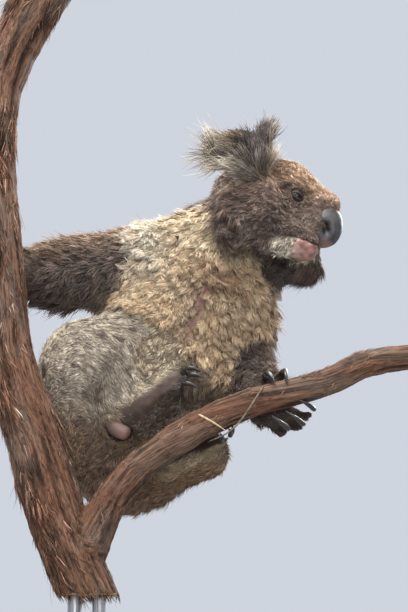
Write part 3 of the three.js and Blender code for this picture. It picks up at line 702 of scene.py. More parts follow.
def span(tree, value, from_low, from_high, to_low, to_high):
    """Maps a value from one range to another."""
    mapped = node(tree, "ShaderNodeMapRange")
    tree.links.new(value, mapped.inputs["Value"])
    limits = {"From Min": from_low, "From Max": from_high, "To Min": to_low, "To Max": to_high}
    for title, number in limits.items():
        mapped.inputs[title].default_value = number
    return mapped.outputs["Result"]


def mix(tree, how, factor, first, second):
    """Mixes two colours. Each of the three may be a socket or a plain value."""
    mixed = node(tree, "ShaderNodeMix", data_type="RGBA", blend_type=how)
    for socket, value in ((mixed.inputs[0], factor), (mixed.inputs[6], first), (mixed.inputs[7], second)):
        if isinstance(value, bpy.types.NodeSocket):
            tree.links.new(value, socket)
        else:
            socket.default_value = value
    return mixed.outputs[2]


def arithmetic(tree, how, first, second):
    made = node(tree, "ShaderNodeMath", operation=how)
    for socket, value in ((made.inputs[0], first), (made.inputs[1], second)):
        if isinstance(value, bpy.types.NodeSocket):
            tree.links.new(value, socket)
        else:
            socket.default_value = value
    return made.outputs[0]


def object_place(tree):
    return node(tree, "ShaderNodeTexCoord").outputs["Object"]


streaks, streaks_in, streaks_out = new_group(
    "hair_streaks",
    [("Colour", "NodeSocketColor", (0.5, 0.5, 0.5, 1)), ("Place", "NodeSocketVector", None),
     ("Strength", "NodeSocketFloat", 0.3)],
    [("Colour", "NodeSocketColor"), ("Roughness", "NodeSocketFloat"), ("Height", "NodeSocketFloat")])
broad = noise(streaks, streaks_in.outputs["Place"], 90, 2.0)
narrow = noise(streaks, streaks_in.outputs["Place"], 700, 3.0, 0.7)
both = arithmetic(streaks, "ADD", broad, narrow)
shade = span(streaks, both, 0.65, 1.35, 0.55, 1.4)
grey = node(streaks, "ShaderNodeCombineColor")
for channel in ("Red", "Green", "Blue"):
    streaks.links.new(shade, grey.inputs[channel])
streaked = mix(streaks, "MULTIPLY", streaks_in.outputs["Strength"], streaks_in.outputs["Colour"],
               grey.outputs["Color"])
streaks.links.new(streaked, streaks_out.inputs["Colour"])
streaks.links.new(span(streaks, narrow, 0.3, 0.7, 0.55, 0.85), streaks_out.inputs["Roughness"])
streaks.links.new(narrow, streaks_out.inputs["Height"])
print("node group", streaks.name)

# %% [markdown]
# Horn, lids, twigs, loose bark, oak and steel have one thing in common: two tones of the same stuff, drawn
# out in the direction it grew or was worked. That is a second node group. It takes a place, how far to
# stretch it along each axis, and the two tones, and gives a colour and a height.

# %% A node group for two tones with a grain
two_tones, tones_in, tones_out = new_group(
    "two_tones",
    [("Place", "NodeSocketVector", None), ("Stretch", "NodeSocketVector", (1, 1, 1)),
     ("Scale", "NodeSocketFloat", 300.0), ("Dark", "NodeSocketColor", (0.1, 0.1, 0.1, 1)),
     ("Pale", "NodeSocketColor", (0.5, 0.5, 0.5, 1))],
    [("Colour", "NodeSocketColor"), ("Height", "NodeSocketFloat")])
drawn_out = node(two_tones, "ShaderNodeVectorMath", operation="MULTIPLY")
two_tones.links.new(tones_in.outputs["Place"], drawn_out.inputs[0])
two_tones.links.new(tones_in.outputs["Stretch"], drawn_out.inputs[1])
speckle = node(two_tones, "ShaderNodeTexNoise")
speckle.inputs["Detail"].default_value = 3.5
speckle.inputs["Roughness"].default_value = 0.62
two_tones.links.new(drawn_out.outputs["Vector"], speckle.inputs["Vector"])
two_tones.links.new(tones_in.outputs["Scale"], speckle.inputs["Scale"])
toned_colour = mix(two_tones, "MIX", span(two_tones, speckle.outputs["Fac"], 0.32, 0.68, 0, 1),
                   tones_in.outputs["Dark"], tones_in.outputs["Pale"])
two_tones.links.new(toned_colour, tones_out.inputs["Colour"])
two_tones.links.new(speckle.outputs["Fac"], tones_out.inputs["Height"])


def grained(tree, dark, pale, scale, stretch=(1, 1, 1)):
    """Puts the two-tone group into a material, and returns its colour and its height."""
    group = node(tree, "ShaderNodeGroup", "two tones")
    group.node_tree = two_tones
    group.inputs["Stretch"].default_value = stretch
    group.inputs["Scale"].default_value = scale
    group.inputs["Dark"].default_value = (*tint(dark), 1)
    group.inputs["Pale"].default_value = (*tint(pale), 1)
    tree.links.new(object_place(tree), group.inputs["Place"])
    return group.outputs["Colour"], group.outputs["Height"]


# %% Fur and skin materials
def new_material(name, roughness=0.6, sheen=0.0):
    made = bpy.data.materials.new(name)
    made.use_nodes = True
    shader = made.node_tree.nodes["Principled BSDF"]
    shader.inputs["Roughness"].default_value = roughness
    shader.inputs["Sheen Weight"].default_value = sheen
    return made, made.node_tree, shader


def bump(tree, shader, height, strength, distance):
    made = node(tree, "ShaderNodeBump")
    made.inputs["Strength"].default_value = strength
    made.inputs["Distance"].default_value = distance
    tree.links.new(height, made.inputs["Height"])
    tree.links.new(made.outputs["Normal"], shader.inputs["Normal"])
    return made


def coat_material(name, strength, sheen, bumped):
    made, tree, shader = new_material(name, 0.7, sheen)
    shader.inputs["Specular IOR Level"].default_value = 0.25
    painted = node(tree, "ShaderNodeAttribute", "painted coat", attribute_name="coat_colour")
    group = node(tree, "ShaderNodeGroup", "streaks")
    group.node_tree = streaks
    group.inputs["Strength"].default_value = strength
    tree.links.new(painted.outputs["Color"], group.inputs["Colour"])
    tree.links.new(object_place(tree), group.inputs["Place"])
    tree.links.new(group.outputs["Colour"], shader.inputs["Base Color"])
    tree.links.new(group.outputs["Roughness"], shader.inputs["Roughness"])
    if bumped:
        bump(tree, shader, group.outputs["Height"], 0.6, bumped)
    return made


body_fur = coat_material("body_fur", 0.35, 0.25, 0)
face_fur = coat_material("face_fur", 0.45, 0.2, 0)
skin_finish = coat_material("hide_skin", 0.5, 0.0, 0.0012)
print("materials:", body_fur.name, face_fur.name, skin_finish.name)


# %% Dress the skin, and unwrap it
def store_colour(mesh, values):
    painted = mesh.color_attributes.new("coat_colour", "FLOAT_COLOR", "POINT")
    rgba = np.ones((len(mesh.vertices), 4), np.float32)
    rgba[:, :3] = values
    painted.data.foreach_set("color", rgba.ravel())


# Painted shade: the skin under the fur is darker than the coat's own colour, most on the head, so that gaps
# between tufts read as shade deep in the coat. Bare skin keeps its full colour.
gap_shade = 0.6 + 0.4 * bare + 0.15 * chest - 0.2 * head_part * (1 - bare) * (1 - 0.6 * muzzle)
store_colour(hide.data, colour * gap_shade[:, None])
hide.name = "koala_skin"
hide.data.name = "koala_skin"
hide.data.materials.clear()
hide.data.materials.append(skin_finish)
hide.data.polygons.foreach_set("use_smooth", np.ones(len(hide.data.polygons), bool))
bpy.context.view_layer.objects.active = hide
hide.select_set(True)
hide.data.uv_layers.new(name="OFBake")
bpy.ops.object.mode_set(mode="EDIT")
bpy.ops.mesh.select_all(action="SELECT")
bpy.ops.uv.smart_project(angle_limit=1.15, island_margin=0.002)
bpy.ops.object.mode_set(mode="OBJECT")
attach(hide, "root")
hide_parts(*[name for names in FLESH.values() for name in names])
print("skin has", len(hide.data.polygons), "faces")

# %% [markdown]
# ## Growing the fur
# Hair curves can't be exported as a solid, and real hairs would be far too many. A coat reads well when it
# is built of small solid tufts, each a few hairs thick, three-sided and drawn out to a point. One function
# grows a whole patch of them as a single mesh: it scatters roots by area, bends each tuft over along the
# comb, lets neighbours gather into locks, curls them where the fleece is curly, and paints shade into them:
# dark at the root, where the coat shadows itself, and light at the tip. Arrays do this for ten thousand
# tufts at once.

# %% What a patch grows on
def ground_of(thing, **fields):
    """The triangles of a surface with what is known at each corner, ready for scattering roots over."""
    mesh = thing.data
    count = len(mesh.polygons)
    triangles = np.empty(count * 3, np.int32)
    mesh.polygons.foreach_get("vertices", triangles)
    triangles = triangles.reshape(-1, 3)
    unwrap = np.empty(count * 6, np.float32)
    mesh.uv_layers["OFBake"].data.foreach_get("uv", unwrap)
    a, b, c = (fields["place"][triangles[:, i]] for i in range(3))
    area = np.linalg.norm(np.cross(b - a, c - a), axis=1) / 2
    return dict(fields, triangles=triangles, unwrap=unwrap.reshape(-1, 3, 2).astype(float), area=area)


fur_ground = ground_of(hide, place=skin_place, normal=coat_normal, comb=comb, length=length, lift=lift,
                       width=width, curl=curl, gather=gather, growth=growth, colour=colour)
print("skin area", round(float(fur_ground["area"].sum()), 3), "square metres")


# %% A function that grows a patch of fur
def draw_on(rings):
    """Faces of one tuft: a foot, a tube of three sides through the rings, and a tip."""
    faces = [(0, 2, 1)]
    for ring in range(rings - 1):
        for side in range(3):
            near, far = 3 * ring + side, 3 * ring + (side + 1) % 3
            faces.append((near, far, far + 3, near + 3))
    last, tip = 3 * (rings - 1), 3 * rings
    faces += [(last + side, last + (side + 1) % 3, tip) for side in range(3)]
    return faces


WARMTH = np.array((0.9, 1.0, 1.12))  # the deeper in the coat, the redder the light that gets out


def grow(name, ground, where, count, rings, seed, material, slot,
         locks=8, stray=0.08, shade=(0.35, 1.25), vary=0.24):
    rng = np.random.default_rng(seed)
    triangles = ground["triangles"]
    weight = ground["area"] * (where * ground["growth"])[triangles].mean(axis=1)
    running = np.cumsum(weight)
    chosen = np.searchsorted(running, rng.random(count) * running[-1])
    a, b = rng.random(count), rng.random(count)
    a, b = np.where(a + b > 1, 1 - a, a), np.where(a + b > 1, 1 - b, b)
    portion = np.stack([1 - a - b, a, b], axis=1)

    def at_root(field):
        return np.einsum("nk...,nk->n...", ground[field][triangles[chosen]], portion)

    root, outward = at_root("place"), unit(at_root("normal"))
    ahead = at_root("comb")
    ahead = unit(ahead - outward * (ahead * outward).sum(axis=1)[:, None])
    across = np.cross(outward, ahead)
    turn = rng.normal(0, 0.28, count)
    ahead, across = (ahead * np.cos(turn)[:, None] + across * np.sin(turn)[:, None],
                     across * np.cos(turn)[:, None] - ahead * np.sin(turn)[:, None])
    strays = rng.random(count) < stray
    reach = at_root("length") * MM * rng.uniform(0.7, 1.2, count) * np.where(strays, 1.35, 1)
    rise = at_root("lift") + rng.normal(0, 0.1, count) + np.where(strays, 0.3, 0)
    thick = at_root("width") * MM * rng.uniform(0.75, 1.25, count) * np.where(strays, 0.55, 1)
    wave = at_root("curl") * MM
    pull = np.where(strays, 0.1, at_root("gather"))

    steps = np.linspace(0, 1, rings + 1)
    u = steps[None, :, None]
    climb = np.sin(rise)[:, None, None] * (u - 0.35 * u ** 2)
    line = root[:, None] - outward[:, None] * 0.0006
    forward = np.cos(rise)[:, None, None] * u
    line = line + reach[:, None, None] * (ahead[:, None] * forward + outward[:, None] * climb)

    heads = max(1, count // locks)
    tree = KDTree(heads)
    for i in range(heads):
        tree.insert(root[i], i)
    tree.balance()
    own = np.array([tree.find(place)[1] for place in root])
    pull[:heads] = 0
    line += (line[own] - line) * (pull[:, None] * steps[None] ** 1.1)[:, :, None]
    phase = rng.uniform(0, 6.28, heads)[own]
    turns = rng.uniform(0.45, 0.9, heads)[own]
    swing = 2 * math.pi * turns[:, None] * steps[None] + phase[:, None]
    sway = (np.sin(swing) - np.sin(phase)[:, None]) * steps[None] ** 0.5 * wave[:, None]
    heave = (np.cos(swing) - np.cos(phase)[:, None]) * steps[None] ** 0.5 * wave[:, None] * 0.6
    line += across[:, None] * sway[:, :, None] + outward[:, None] * heave[:, :, None]

    girth = thick[:, None] * (0.75 + 0.6 * steps[:-1] - 1.05 * steps[:-1] ** 2)[None]
    places = np.empty((count, 3 * rings + 1, 3))
    tones = np.empty((count, 3 * rings + 1))
    for side, angle in enumerate((math.pi / 2, math.pi * 7 / 6, math.pi * 11 / 6)):
        offset = across[:, None] * math.cos(angle) + outward[:, None] * math.sin(angle) * 0.55
        places[:, side:3 * rings:3] = line[:, :-1] + offset * girth[:, :, None]
        tones[:, side:3 * rings:3] = steps[None, :-1]
    places[:, -1] = line[:, -1]
    tones[:, -1] = 1

    tone = np.exp(rng.normal(0, vary, count) + rng.normal(0, vary, heads)[own])
    # Painted shade: each tuft is darkest at its root and lightest at its tip.
    brightness = (shade[0] + (shade[1] - shade[0]) * tones) * tone[:, None]
    tuft_colour = at_root("colour")[:, None] * brightness[:, :, None] ** WARMTH
    pattern = draw_on(rings)
    sizes = np.array([len(face) for face in pattern])
    loops = np.concatenate([np.array(face) for face in pattern])
    per_tuft = 3 * rings + 1
    base = np.arange(count)[:, None] * per_tuft
    corners = (base + loops[None]).ravel().astype(np.int32)
    totals = np.tile(sizes, count).astype(np.int32)
    mesh = bpy.data.meshes.new(name)
    mesh.vertices.add(count * per_tuft)
    mesh.vertices.foreach_set("co", places.astype(np.float32).ravel())
    mesh.loops.add(len(corners))
    mesh.loops.foreach_set("vertex_index", corners)
    mesh.polygons.add(len(totals))
    mesh.polygons.foreach_set("loop_start", np.concatenate([[0], np.cumsum(totals)[:-1]]).astype(np.int32))
    mesh.polygons.foreach_set("loop_total", totals)
    mesh.polygons.foreach_set("use_smooth", np.ones(len(totals), bool))
    mesh.update()
    store_colour(mesh, np.clip(tuft_colour, 0, 1).reshape(-1, 3))

    home = np.einsum("nkc,nk->nc", ground["unwrap"][chosen], portion)
    patch = np.empty((per_tuft, 2))
    for side, offset in enumerate((-0.0015, 0.0, 0.0015)):
        patch[side:3 * rings:3, 0] = offset
    patch[:-1, 1] = np.repeat(steps[:-1], 3) * 0.003 - 0.0015
    patch[-1] = (0.0, 0.0015)
    bake = mesh.uv_layers.new(name="OFBake")
    bake.data.foreach_set("uv", (home[:, None] + patch[loops][None]).astype(np.float32).ravel())
    mesh.materials.append(material)
    piece = bpy.data.objects.new(name, mesh)
    bpy.context.scene.collection.objects.link(piece)
    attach(piece, "root")
    print(name, count, "tufts,", int((totals - 2).sum()), "triangles")
    return piece


# %% [markdown]
# The coat is grown in patches, so that each stays a size that other programs can open, and so that each
# can have its own fineness: very small tufts on the face, coiled ones on the chest, long ones on the ears.

# %% Grow the coat
def fur(name, where, count, rings, seed, face=False, **more):
    grow(name, fur_ground, where, count, rings, seed, face_fur if face else body_fur,
         "face_coat" if face else "body_coat", **more)


face_front = head_part * ramp(H[:, 0], 5, 30) * (1 + 1.3 * muzzle)
fur("coat_face", face_front, 19500, 2, 11, True, locks=5, stray=0.05, vary=0.32)
fur("coat_cheeks", head_part * ramp(H[:, 0], 30, 5), 9000, 3, 12, True, locks=9, vary=0.3)
fur("coat_ears", region["ear"], 6000, 4, 13, True, locks=14, stray=0.2, vary=0.3)
far_chest = ramp(P[:, 0] - 0.3 * P[:, 2], 5, 15)
fleece = dict(locks=13, stray=0.04, vary=0.1, shade=(0.55, 1.1))
fur("coat_chest_right", chest * (1 - far_chest), 12300, 3, 14, **fleece)
fur("coat_chest_left", chest * far_chest, 8400, 3, 24, **fleece)
fur("coat_belly", body * (1 - chest) * front, 9000, 2, 15, locks=6)
fur("coat_back", body * (1 - chest) * (1 - front), 15000, 2, 16, locks=8)
fur("coat_arms", region["arm"] * (1 - chest), 12000, 3, 17, locks=9, stray=0.12, vary=0.3)
fur("coat_legs", region["leg"], 17000, 2, 18, locks=6, vary=0.17)
fur("coat_paws", region["paw"], 9000, 2, 19, locks=5)

# %% [markdown]
# ## The nose
# A koala's nose is a big bare pad, leathery and slate grey, with a comma-shaped nostril low on each side
# and a shallow furrow between them. It starts as a sphere, is drawn out into an egg, and then each nostril
# is a place where the surface is pushed in.

# %% Shape the nose pad
def piece_from(build, name, material, slot, *replaced):
    """Turns a bmesh into a finished piece that stands for some of the frame's nodes."""
    bmesh.ops.remove_doubles(build, verts=build.verts, dist=1e-6)
    bmesh.ops.recalc_face_normals(build, faces=build.faces)
    for face in build.faces:
        face.smooth = True
    mesh = bpy.data.meshes.new(name)
    build.to_mesh(mesh)
    build.free()
    mesh.materials.append(material)
    made = bpy.data.objects.new(name, mesh)
    bpy.context.scene.collection.objects.link(made)
    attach(made, "root")
    if replaced:
        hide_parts(*replaced)
    print(name, len(mesh.polygons), "faces")
    return made


def to_room(build):
    """Moves a bmesh that was shaped in the head's frame, in millimetres, to its place in the room."""
    place = Matrix.Translation(HEAD_MIDDLE) @ HEAD_TURN.to_4x4() @ Matrix.Scale(MM, 4)
    bmesh.ops.transform(build, matrix=place, verts=build.verts)


def bell(point, centre, reach):
    gap = [(a - b) / c for a, b, c in zip(point, centre, reach)]
    return math.exp(-sum(g * g for g in gap))


NOSE_RADII = Vector((24.5, 18.0, 32.0))
nose_leather, tree, shader = new_material("nose_leather", 0.5)
shader.inputs["Coat Weight"].default_value = 0.08
shader.inputs["Coat Roughness"].default_value = 0.4
place = object_place(tree)
grain = node(tree, "ShaderNodeTexVoronoi", feature="DISTANCE_TO_EDGE")
grain.inputs["Scale"].default_value = 760
tree.links.new(place, grain.inputs["Vector"])
worn = noise(tree, place, 120, 4.0)
slate = mix(tree, "MIX", span(tree, worn, 0.35, 0.65, 0, 1), (*tint("#1d1b1d"), 1), (*tint("#434044"), 1))
# Painted shade: the nostril hollows are coloured near black, as the inside of an opening.
pit = node(tree, "ShaderNodeAttribute", "nostril depth", attribute_name="nostril")
nostril_shaded = mix(tree, "MIX", span(tree, pit.outputs["Fac"], 0.4, 0.75, 0, 1), slate, (*tint("#0d0908"), 1))
rim = node(tree, "ShaderNodeAttribute", "pink lower rim", attribute_name="rim")
rimmed = mix(tree, "MIX", rim.outputs["Fac"], nostril_shaded, (*tint("#8d6a66"), 1))
tree.links.new(rimmed, shader.inputs["Base Color"])
tree.links.new(span(tree, worn, 0.3, 0.7, 0.42, 0.65), shader.inputs["Roughness"])
height = arithmetic(tree, "ADD", span(tree, grain.outputs["Distance"], 0, 0.25, 0, 1), worn)
bump(tree, shader, height, 0.22, 0.0005)

nose = bmesh.new()
bmesh.ops.create_uvsphere(nose, u_segments=64, v_segments=48, radius=1)
nostril_layer = nose.verts.layers.float.new("nostril")
rim_layer = nose.verts.layers.float.new("rim")
for corner in nose.verts:
    facing = corner.co.copy()
    x, y, z = facing
    swell = 1 - 0.10 * z + 0.05 * bell(facing, (0.9, 0, 0.5), (0.5, 0.8, 0.5))
    furrow = 0.07 * math.exp(-((y / 0.10) ** 2)) * max(0, x) * max(0, 0.4 - z)
    hollow = max(bell(facing, (0.20, side * 0.82, -0.50), (0.24, 0.32, 0.30)) for side in (-1, 1))
    comma = max(bell(facing, (0.02, side * 0.95, -0.24), (0.24, 0.4, 0.12)) for side in (-1, 1))
    wing = max(bell(facing, (0.55, side * 0.75, -0.45), (0.16, 0.4, 0.36)) for side in (-1, 1))
    sunk = min(1, hollow + 0.75 * comma)
    corner[nostril_layer] = min(1, 1.5 * sunk)
    corner[rim_layer] = max(0, min(1, (-z - 0.80) * 5)) * 0.8
    corner.co = Vector((x * NOSE_RADII.x, y * NOSE_RADII.y * swell, z * NOSE_RADII.z))
    corner.co -= facing * (9 * sunk - 1.8 * wing) + facing * furrow * 20
    corner.co += Vector(NOSE_MIDDLE)
to_room(nose)
piece_from(nose, "nose_pad", nose_leather, "nose_pad", "nose")

# %% [markdown]
# ## Eyes and lids
# A koala's eye is small and brown, with an upright slit for a pupil, and this one is half closed. The ball
# is a sphere with a slight bulge, and a lid is a ring that starts at the almond opening, rolls over a soft
# edge and runs back under the fur. Each ring is extruded from the last. The first ones lie on spheres a
# little larger than the ball, so the lid can't cut it, and the last ones dive under the fur.

# %% Eyeballs
GAZE = Vector((0.42, 0.85, -0.30)).normalized()
LID_TILT = math.radians(-30)


def eye_axes(side):
    """Forward along the lids, up across them, and out of the eye, in the head's frame."""
    out = Vector((GAZE.x, GAZE.y * side, GAZE.z))
    ahead = (Vector((1, 0, 0)) - out * out.x).normalized()
    above = ahead.cross(out) * -side
    above = above if above.z > 0 else -above
    tilted = ahead * math.cos(LID_TILT) + above * math.sin(LID_TILT)
    return tilted, (above * math.cos(LID_TILT) - ahead * math.sin(LID_TILT)), out


eye_gloss, tree, shader = new_material("eye_gloss", 0.25)
shader.inputs["Specular IOR Level"].default_value = 0.25
shader.inputs["Coat Weight"].default_value = 0.3
shader.inputs["Coat Roughness"].default_value = 0.03
seen = node(tree, "ShaderNodeAttribute", "place on the iris", attribute_name="iris_place")
apart = node(tree, "ShaderNodeSeparateXYZ")
tree.links.new(seen.outputs["Vector"], apart.inputs["Vector"])
ray = noise(tree, seen.outputs["Vector"], 2.2, 3.0, 0.6, (1, 1, 0.2))
iris = mix(tree, "MIX", span(tree, ray, 0.35, 0.65, 0, 1), (*tint("#0c0705"), 1), (*tint("#20140b"), 1))
past_iris = span(tree, apart.outputs["Z"], 5.0, 5.6, 0, 1)
slit = span(tree, apart.outputs["X"], 0.7, 1.1, 1, 0)
dark = mix(tree, "MIX", slit, iris, (0.004, 0.003, 0.003, 1))
tree.links.new(mix(tree, "MIX", past_iris, dark, (*tint("#2a1f1a"), 1)), shader.inputs["Base Color"])

balls = bmesh.new()
iris_layer = balls.verts.layers.float_vector.new("iris_place")
for side in (-1, 1):
    ahead, above, out = eye_axes(side)
    middle = Vector((EYE_MIDDLE[0], EYE_MIDDLE[1] * side, EYE_MIDDLE[2]))
    made = bmesh.ops.create_uvsphere(balls, u_segments=40, v_segments=28, radius=7.9)["verts"]
    for corner in made:
        offset = corner.co.copy()
        across, over, depth = offset.dot(ahead), offset.dot(above), offset.dot(out)
        from_axis = math.hypot(across, over) if depth > 0 else 9.0
        corner[iris_layer] = Vector((abs(across) * (1 + 0.02 * over * over), over, from_axis))
        corner.co = middle + offset * (1 + 0.05 * math.exp(-((from_axis / 4.0) ** 2)))
to_room(balls)
piece_from(balls, "eyeballs", eye_gloss, "eye", "eye_left", "eye_right")

# %% Eyelids
LID_RINGS = [(0.0, 8.3), (0.15, 8.75), (0.6, 9.1), (1.6, 8.8), (3.2, 7.6), (6.0, 5.0), (9.0, 2.0)]
LID_HALF_LENGTH, LID_RISE, LID_DROP = 6.8, 2.6, 3.4
lid_skin, tree, shader = new_material("lid_skin", 0.6)
lid_dark, creased = grained(tree, "#241b18", "#4a3b34", 420, (1, 1, 2.2))
rim_place = node(tree, "ShaderNodeAttribute", "distance from the opening", attribute_name="lid_ring")
pale_edge = span(tree, rim_place.outputs["Fac"], 0.05, 0.3, 0.35, 0)
tree.links.new(mix(tree, "MIX", pale_edge, lid_dark, (*tint("#9a8478"), 1)), shader.inputs["Base Color"])
bump(tree, shader, creased, 0.5, 0.0008)


def extrude_ring(build, ring):
    """Extrudes a ring of corners and returns the new ring in the same order."""
    members = set(ring)
    edges = [edge for edge in build.edges if edge.verts[0] in members and edge.verts[1] in members]
    made = bmesh.ops.extrude_edge_only(build, edges=edges)["geom"]
    fresh = [item for item in made if isinstance(item, bmesh.types.BMVert)]
    return [min(fresh, key=lambda corner: (corner.co - old.co).length_squared) for old in ring]


lids = bmesh.new()
lid_layer = lids.verts.layers.float.new("lid_ring")
for side in (-1, 1):
    ahead, above, out = eye_axes(side)
    middle = Vector((EYE_MIDDLE[0], EYE_MIDDLE[1] * side, EYE_MIDDLE[2]))
    ring = bmesh.ops.create_circle(lids, cap_ends=False, segments=48, radius=1)["verts"]
    angles = [math.atan2(corner.co.y, corner.co.x) for corner in ring]
    for ring_index, (spread, radius) in enumerate(LID_RINGS):
        if ring_index:
            ring = extrude_ring(lids, ring)
        for corner, angle in zip(ring, angles):
            across = LID_HALF_LENGTH * math.cos(angle)
            height = LID_RISE if math.sin(angle) > 0 else LID_DROP
            over = height * math.sin(angle) * (1 - 0.3 * math.cos(angle) ** 4)
            away = math.hypot(across, over)
            heading = (ahead * across + above * over) / away
            reach = away + spread
            on_ball = min(radius, math.sqrt(max(0, radius ** 2 - min(reach, 8) ** 2)) + 0.2)
            depth = on_ball if reach <= 7.5 else 3.9 - 1.1 * (reach - 7.5)
            corner.co = middle + heading * reach + out * depth
            corner[lid_layer] = ring_index / (len(LID_RINGS) - 1)
to_room(lids)
eyelids = piece_from(lids, "eyelids", lid_skin, "bare_skin")
thicken = eyelids.modifiers.new("thickness", "SOLIDIFY")
thicken.thickness = 0.0005
thicken.offset = 0
finer = eyelids.modifiers.new("finer", "SUBSURF")
finer.levels = finer.render_levels = 1

# %% [markdown]
# ## Claws
# The frame's claws already have the right curve, but they are faceted. Copies of them are merged, divided
# by a subdivision surface and joined into one piece. Horn is dark and glossy, in two tones, with shallow
# grooves.

# %% Claws
horn, tree, shader = new_material("claw_horn", 0.42)
shader.inputs["Coat Weight"].default_value = 0.2
shader.inputs["Coat Roughness"].default_value = 0.2
horn_colour, grooves = grained(tree, "#121010", "#383331", 260, (0.5, 1, 2))
tree.links.new(horn_colour, shader.inputs["Base Color"])
tree.links.new(span(tree, grooves, 0.3, 0.7, 0.34, 0.55), shader.inputs["Roughness"])
bump(tree, shader, grooves, 0.3, 0.0005)


def joined_copy(*names):
    joined = bmesh.new()
    for node_name in names:
        shape = merged_copy(node_name, 0)
        spare = bpy.data.meshes.new("spare")
        shape.to_mesh(spare)
        shape.free()
        joined.from_mesh(spare)
        bpy.data.meshes.remove(spare)
    return joined


claw_names = sorted(name for name in nodes if name.startswith("claw_"))
claws = piece_from(joined_copy(*claw_names), "claws", horn, "claw", *claw_names)
rounder = claws.modifiers.new("rounder", "SUBSURF")
rounder.levels = rounder.render_levels = 1

# %% [markdown]
# A male koala's scrotum is bare, soft and finely wrinkled. The frame's form is divided twice and given a
# skin of its own, in soft patches of pink and grey.

# %% Scrotum
soft_skin, tree, shader = new_material("soft_bare_skin", 0.55)
shader.inputs["Subsurface Weight"].default_value = 0.15
shader.inputs["Subsurface Radius"].default_value = (0.004, 0.002, 0.001)
place = object_place(tree)
tone = noise(tree, place, 40, 2.0)
wrinkle = noise(tree, place, 380, 4.0, 0.6, (1, 1, 2.5))
flesh_tone = mix(tree, "MIX", span(tree, tone, 0.35, 0.6, 0, 1), (*tint("#96796f"), 1), (*tint("#6f625b"), 1))
tree.links.new(mix(tree, "MULTIPLY", 0.5, flesh_tone, (0.8, 0.75, 0.72, 1)), shader.inputs["Base Color"])
bump(tree, shader, wrinkle, 0.5, 0.001)
purse = piece_from(joined_copy("scrotum"), "scrotum_skin", soft_skin, "bare_skin", "scrotum")
rounder = purse.modifiers.new("rounder", "SUBSURF")
rounder.levels = rounder.render_levels = 2

# %% [markdown]
# ## The perch
# The koala sits in the fork of a stringybark. Such bark is orange-brown under a weathered grey, ridged
# along the grain, with loose fibres that fray off it. The frame's wood is smooth, so a copy is remeshed
# finely, and every corner is pushed in or out by noise that is stretched along the grain. To know where
# the grain runs, each corner looks up the nearest stretch of the two limbs' middle lines.

# %% Remesh the wood
TRUNK_LINE = [(-121, 0, -394), (-153, 0, -327), (-187, 0, -245), (-206, 0, -181), (-226, 0, -118),
              (-243, 0, -56), (-252, 0, 20), (-259, 0, 98), (-266, 0, 187), (-267, 0, 240), (-261, 0, 292),
              (-244, 0, 343), (-218, 0, 396), (-191, 0, 448)]
BRANCH_LINE = [(-137, 0, -290), (-116, 0, -244), (-88, 0, -208), (-48, 0, -177), (0, 0, -148),
               (61, 0, -122), (106, 0, -111), (149, 0, -99), (206, 0, -72), (264, 0, -63)]
BARK_VOXEL = 0.0027

wood = bmesh.new()
wood.from_mesh(nodes["perch_fork"].data)
bmesh.ops.remove_doubles(wood, verts=wood.verts, dist=1e-5)
wood_mesh = bpy.data.meshes.new("bark_fork")
wood.to_mesh(wood_mesh)
wood.free()
bark = bpy.data.objects.new("bark_fork", wood_mesh)
bpy.context.scene.collection.objects.link(bark)
remesh = bark.modifiers.new("remesh", "REMESH")
remesh.mode = "VOXEL"
remesh.voxel_size = BARK_VOXEL
relax = bark.modifiers.new("relax", "SMOOTH")
relax.factor = 0.5
relax.iterations = 4
apply_modifiers(bark)
divide = bmesh.new()
divide.from_mesh(bark.data)
bmesh.ops.triangulate(divide, faces=divide.faces)
divide.to_mesh(bark.data)
divide.free()
bark_place = corners_of(bark.data)
bark_normal = normals_of(bark.data)
print("wood remeshed:", len(bark_place), "corners")


# %% Find the grain
def along_lines(points, lines):
    """For each point: way of the grain, distance along the line, offset from the line, and which line."""
    best = np.full(len(points), 1e9)
    way = np.zeros_like(points)
    travelled = np.zeros(len(points))
    offset = np.zeros_like(points)
    which = np.zeros(len(points), int)
    for index, line in enumerate(lines):
        passed = 0.0
        for a, b in zip(line, line[1:]):
            a, b = np.array(a, float), np.array(b, float)
            span_length = np.linalg.norm(b - a)
            t = np.clip(((points - a) @ (b - a)) / span_length ** 2, 0, 1)
            gap = points - a - t[:, None] * (b - a)
            distance = np.linalg.norm(gap, axis=1)
            closer = distance < best
            best = np.where(closer, distance, best)
            way[closer] = (b - a) / span_length
            travelled[closer] = (passed + t * span_length)[closer] + index * 2000
            offset[closer] = gap[closer]
            which[closer] = index
            passed += span_length
    return way, travelled, offset, which


# Where the wood is sawn: below the trunk, on its top and at the branch's end, each from bark to bare wood.
FOOT_CUT, TOP_CUT, BRANCH_CUT = (-345, -355), (422, 434), (250, 258)
Q = (bark_place - np.array(FORK)) / MM
grain_way, travelled, wood_offset, limb = along_lines(Q, [TRUNK_LINE, BRANCH_LINE])
cut_end = ramp(np.abs((bark_normal * grain_way).sum(axis=1)), 0.75, 0.9)
cut_end *= np.maximum.reduce([ramp(Q[:, 2], *FOOT_CUT), ramp(Q[:, 2], *TOP_CUT), ramp(Q[:, 0], *BRANCH_CUT)])


def grain_noise(scale, stretch, seed, octaves=2):
    """Noise that is drawn out along the grain, one value for each corner of the wood."""
    values = np.zeros(len(Q))
    shift = wood_offset + np.array((0, seed * 57, 0))
    places = shift + np.outer(travelled / stretch, (0, 0, 1))
    strength = 1.0
    for _ in range(octaves):
        values += strength * np.array([smooth_noise.noise(Vector(place)) for place in places / scale])
        scale, strength = scale / 2, strength / 2
    return values


ridges = 1 - 2 * np.abs(grain_noise(9, 9, 1))
coarse = grain_noise(26, 4, 2)
fine_ridges = grain_noise(4.5, 12, 3, 1)
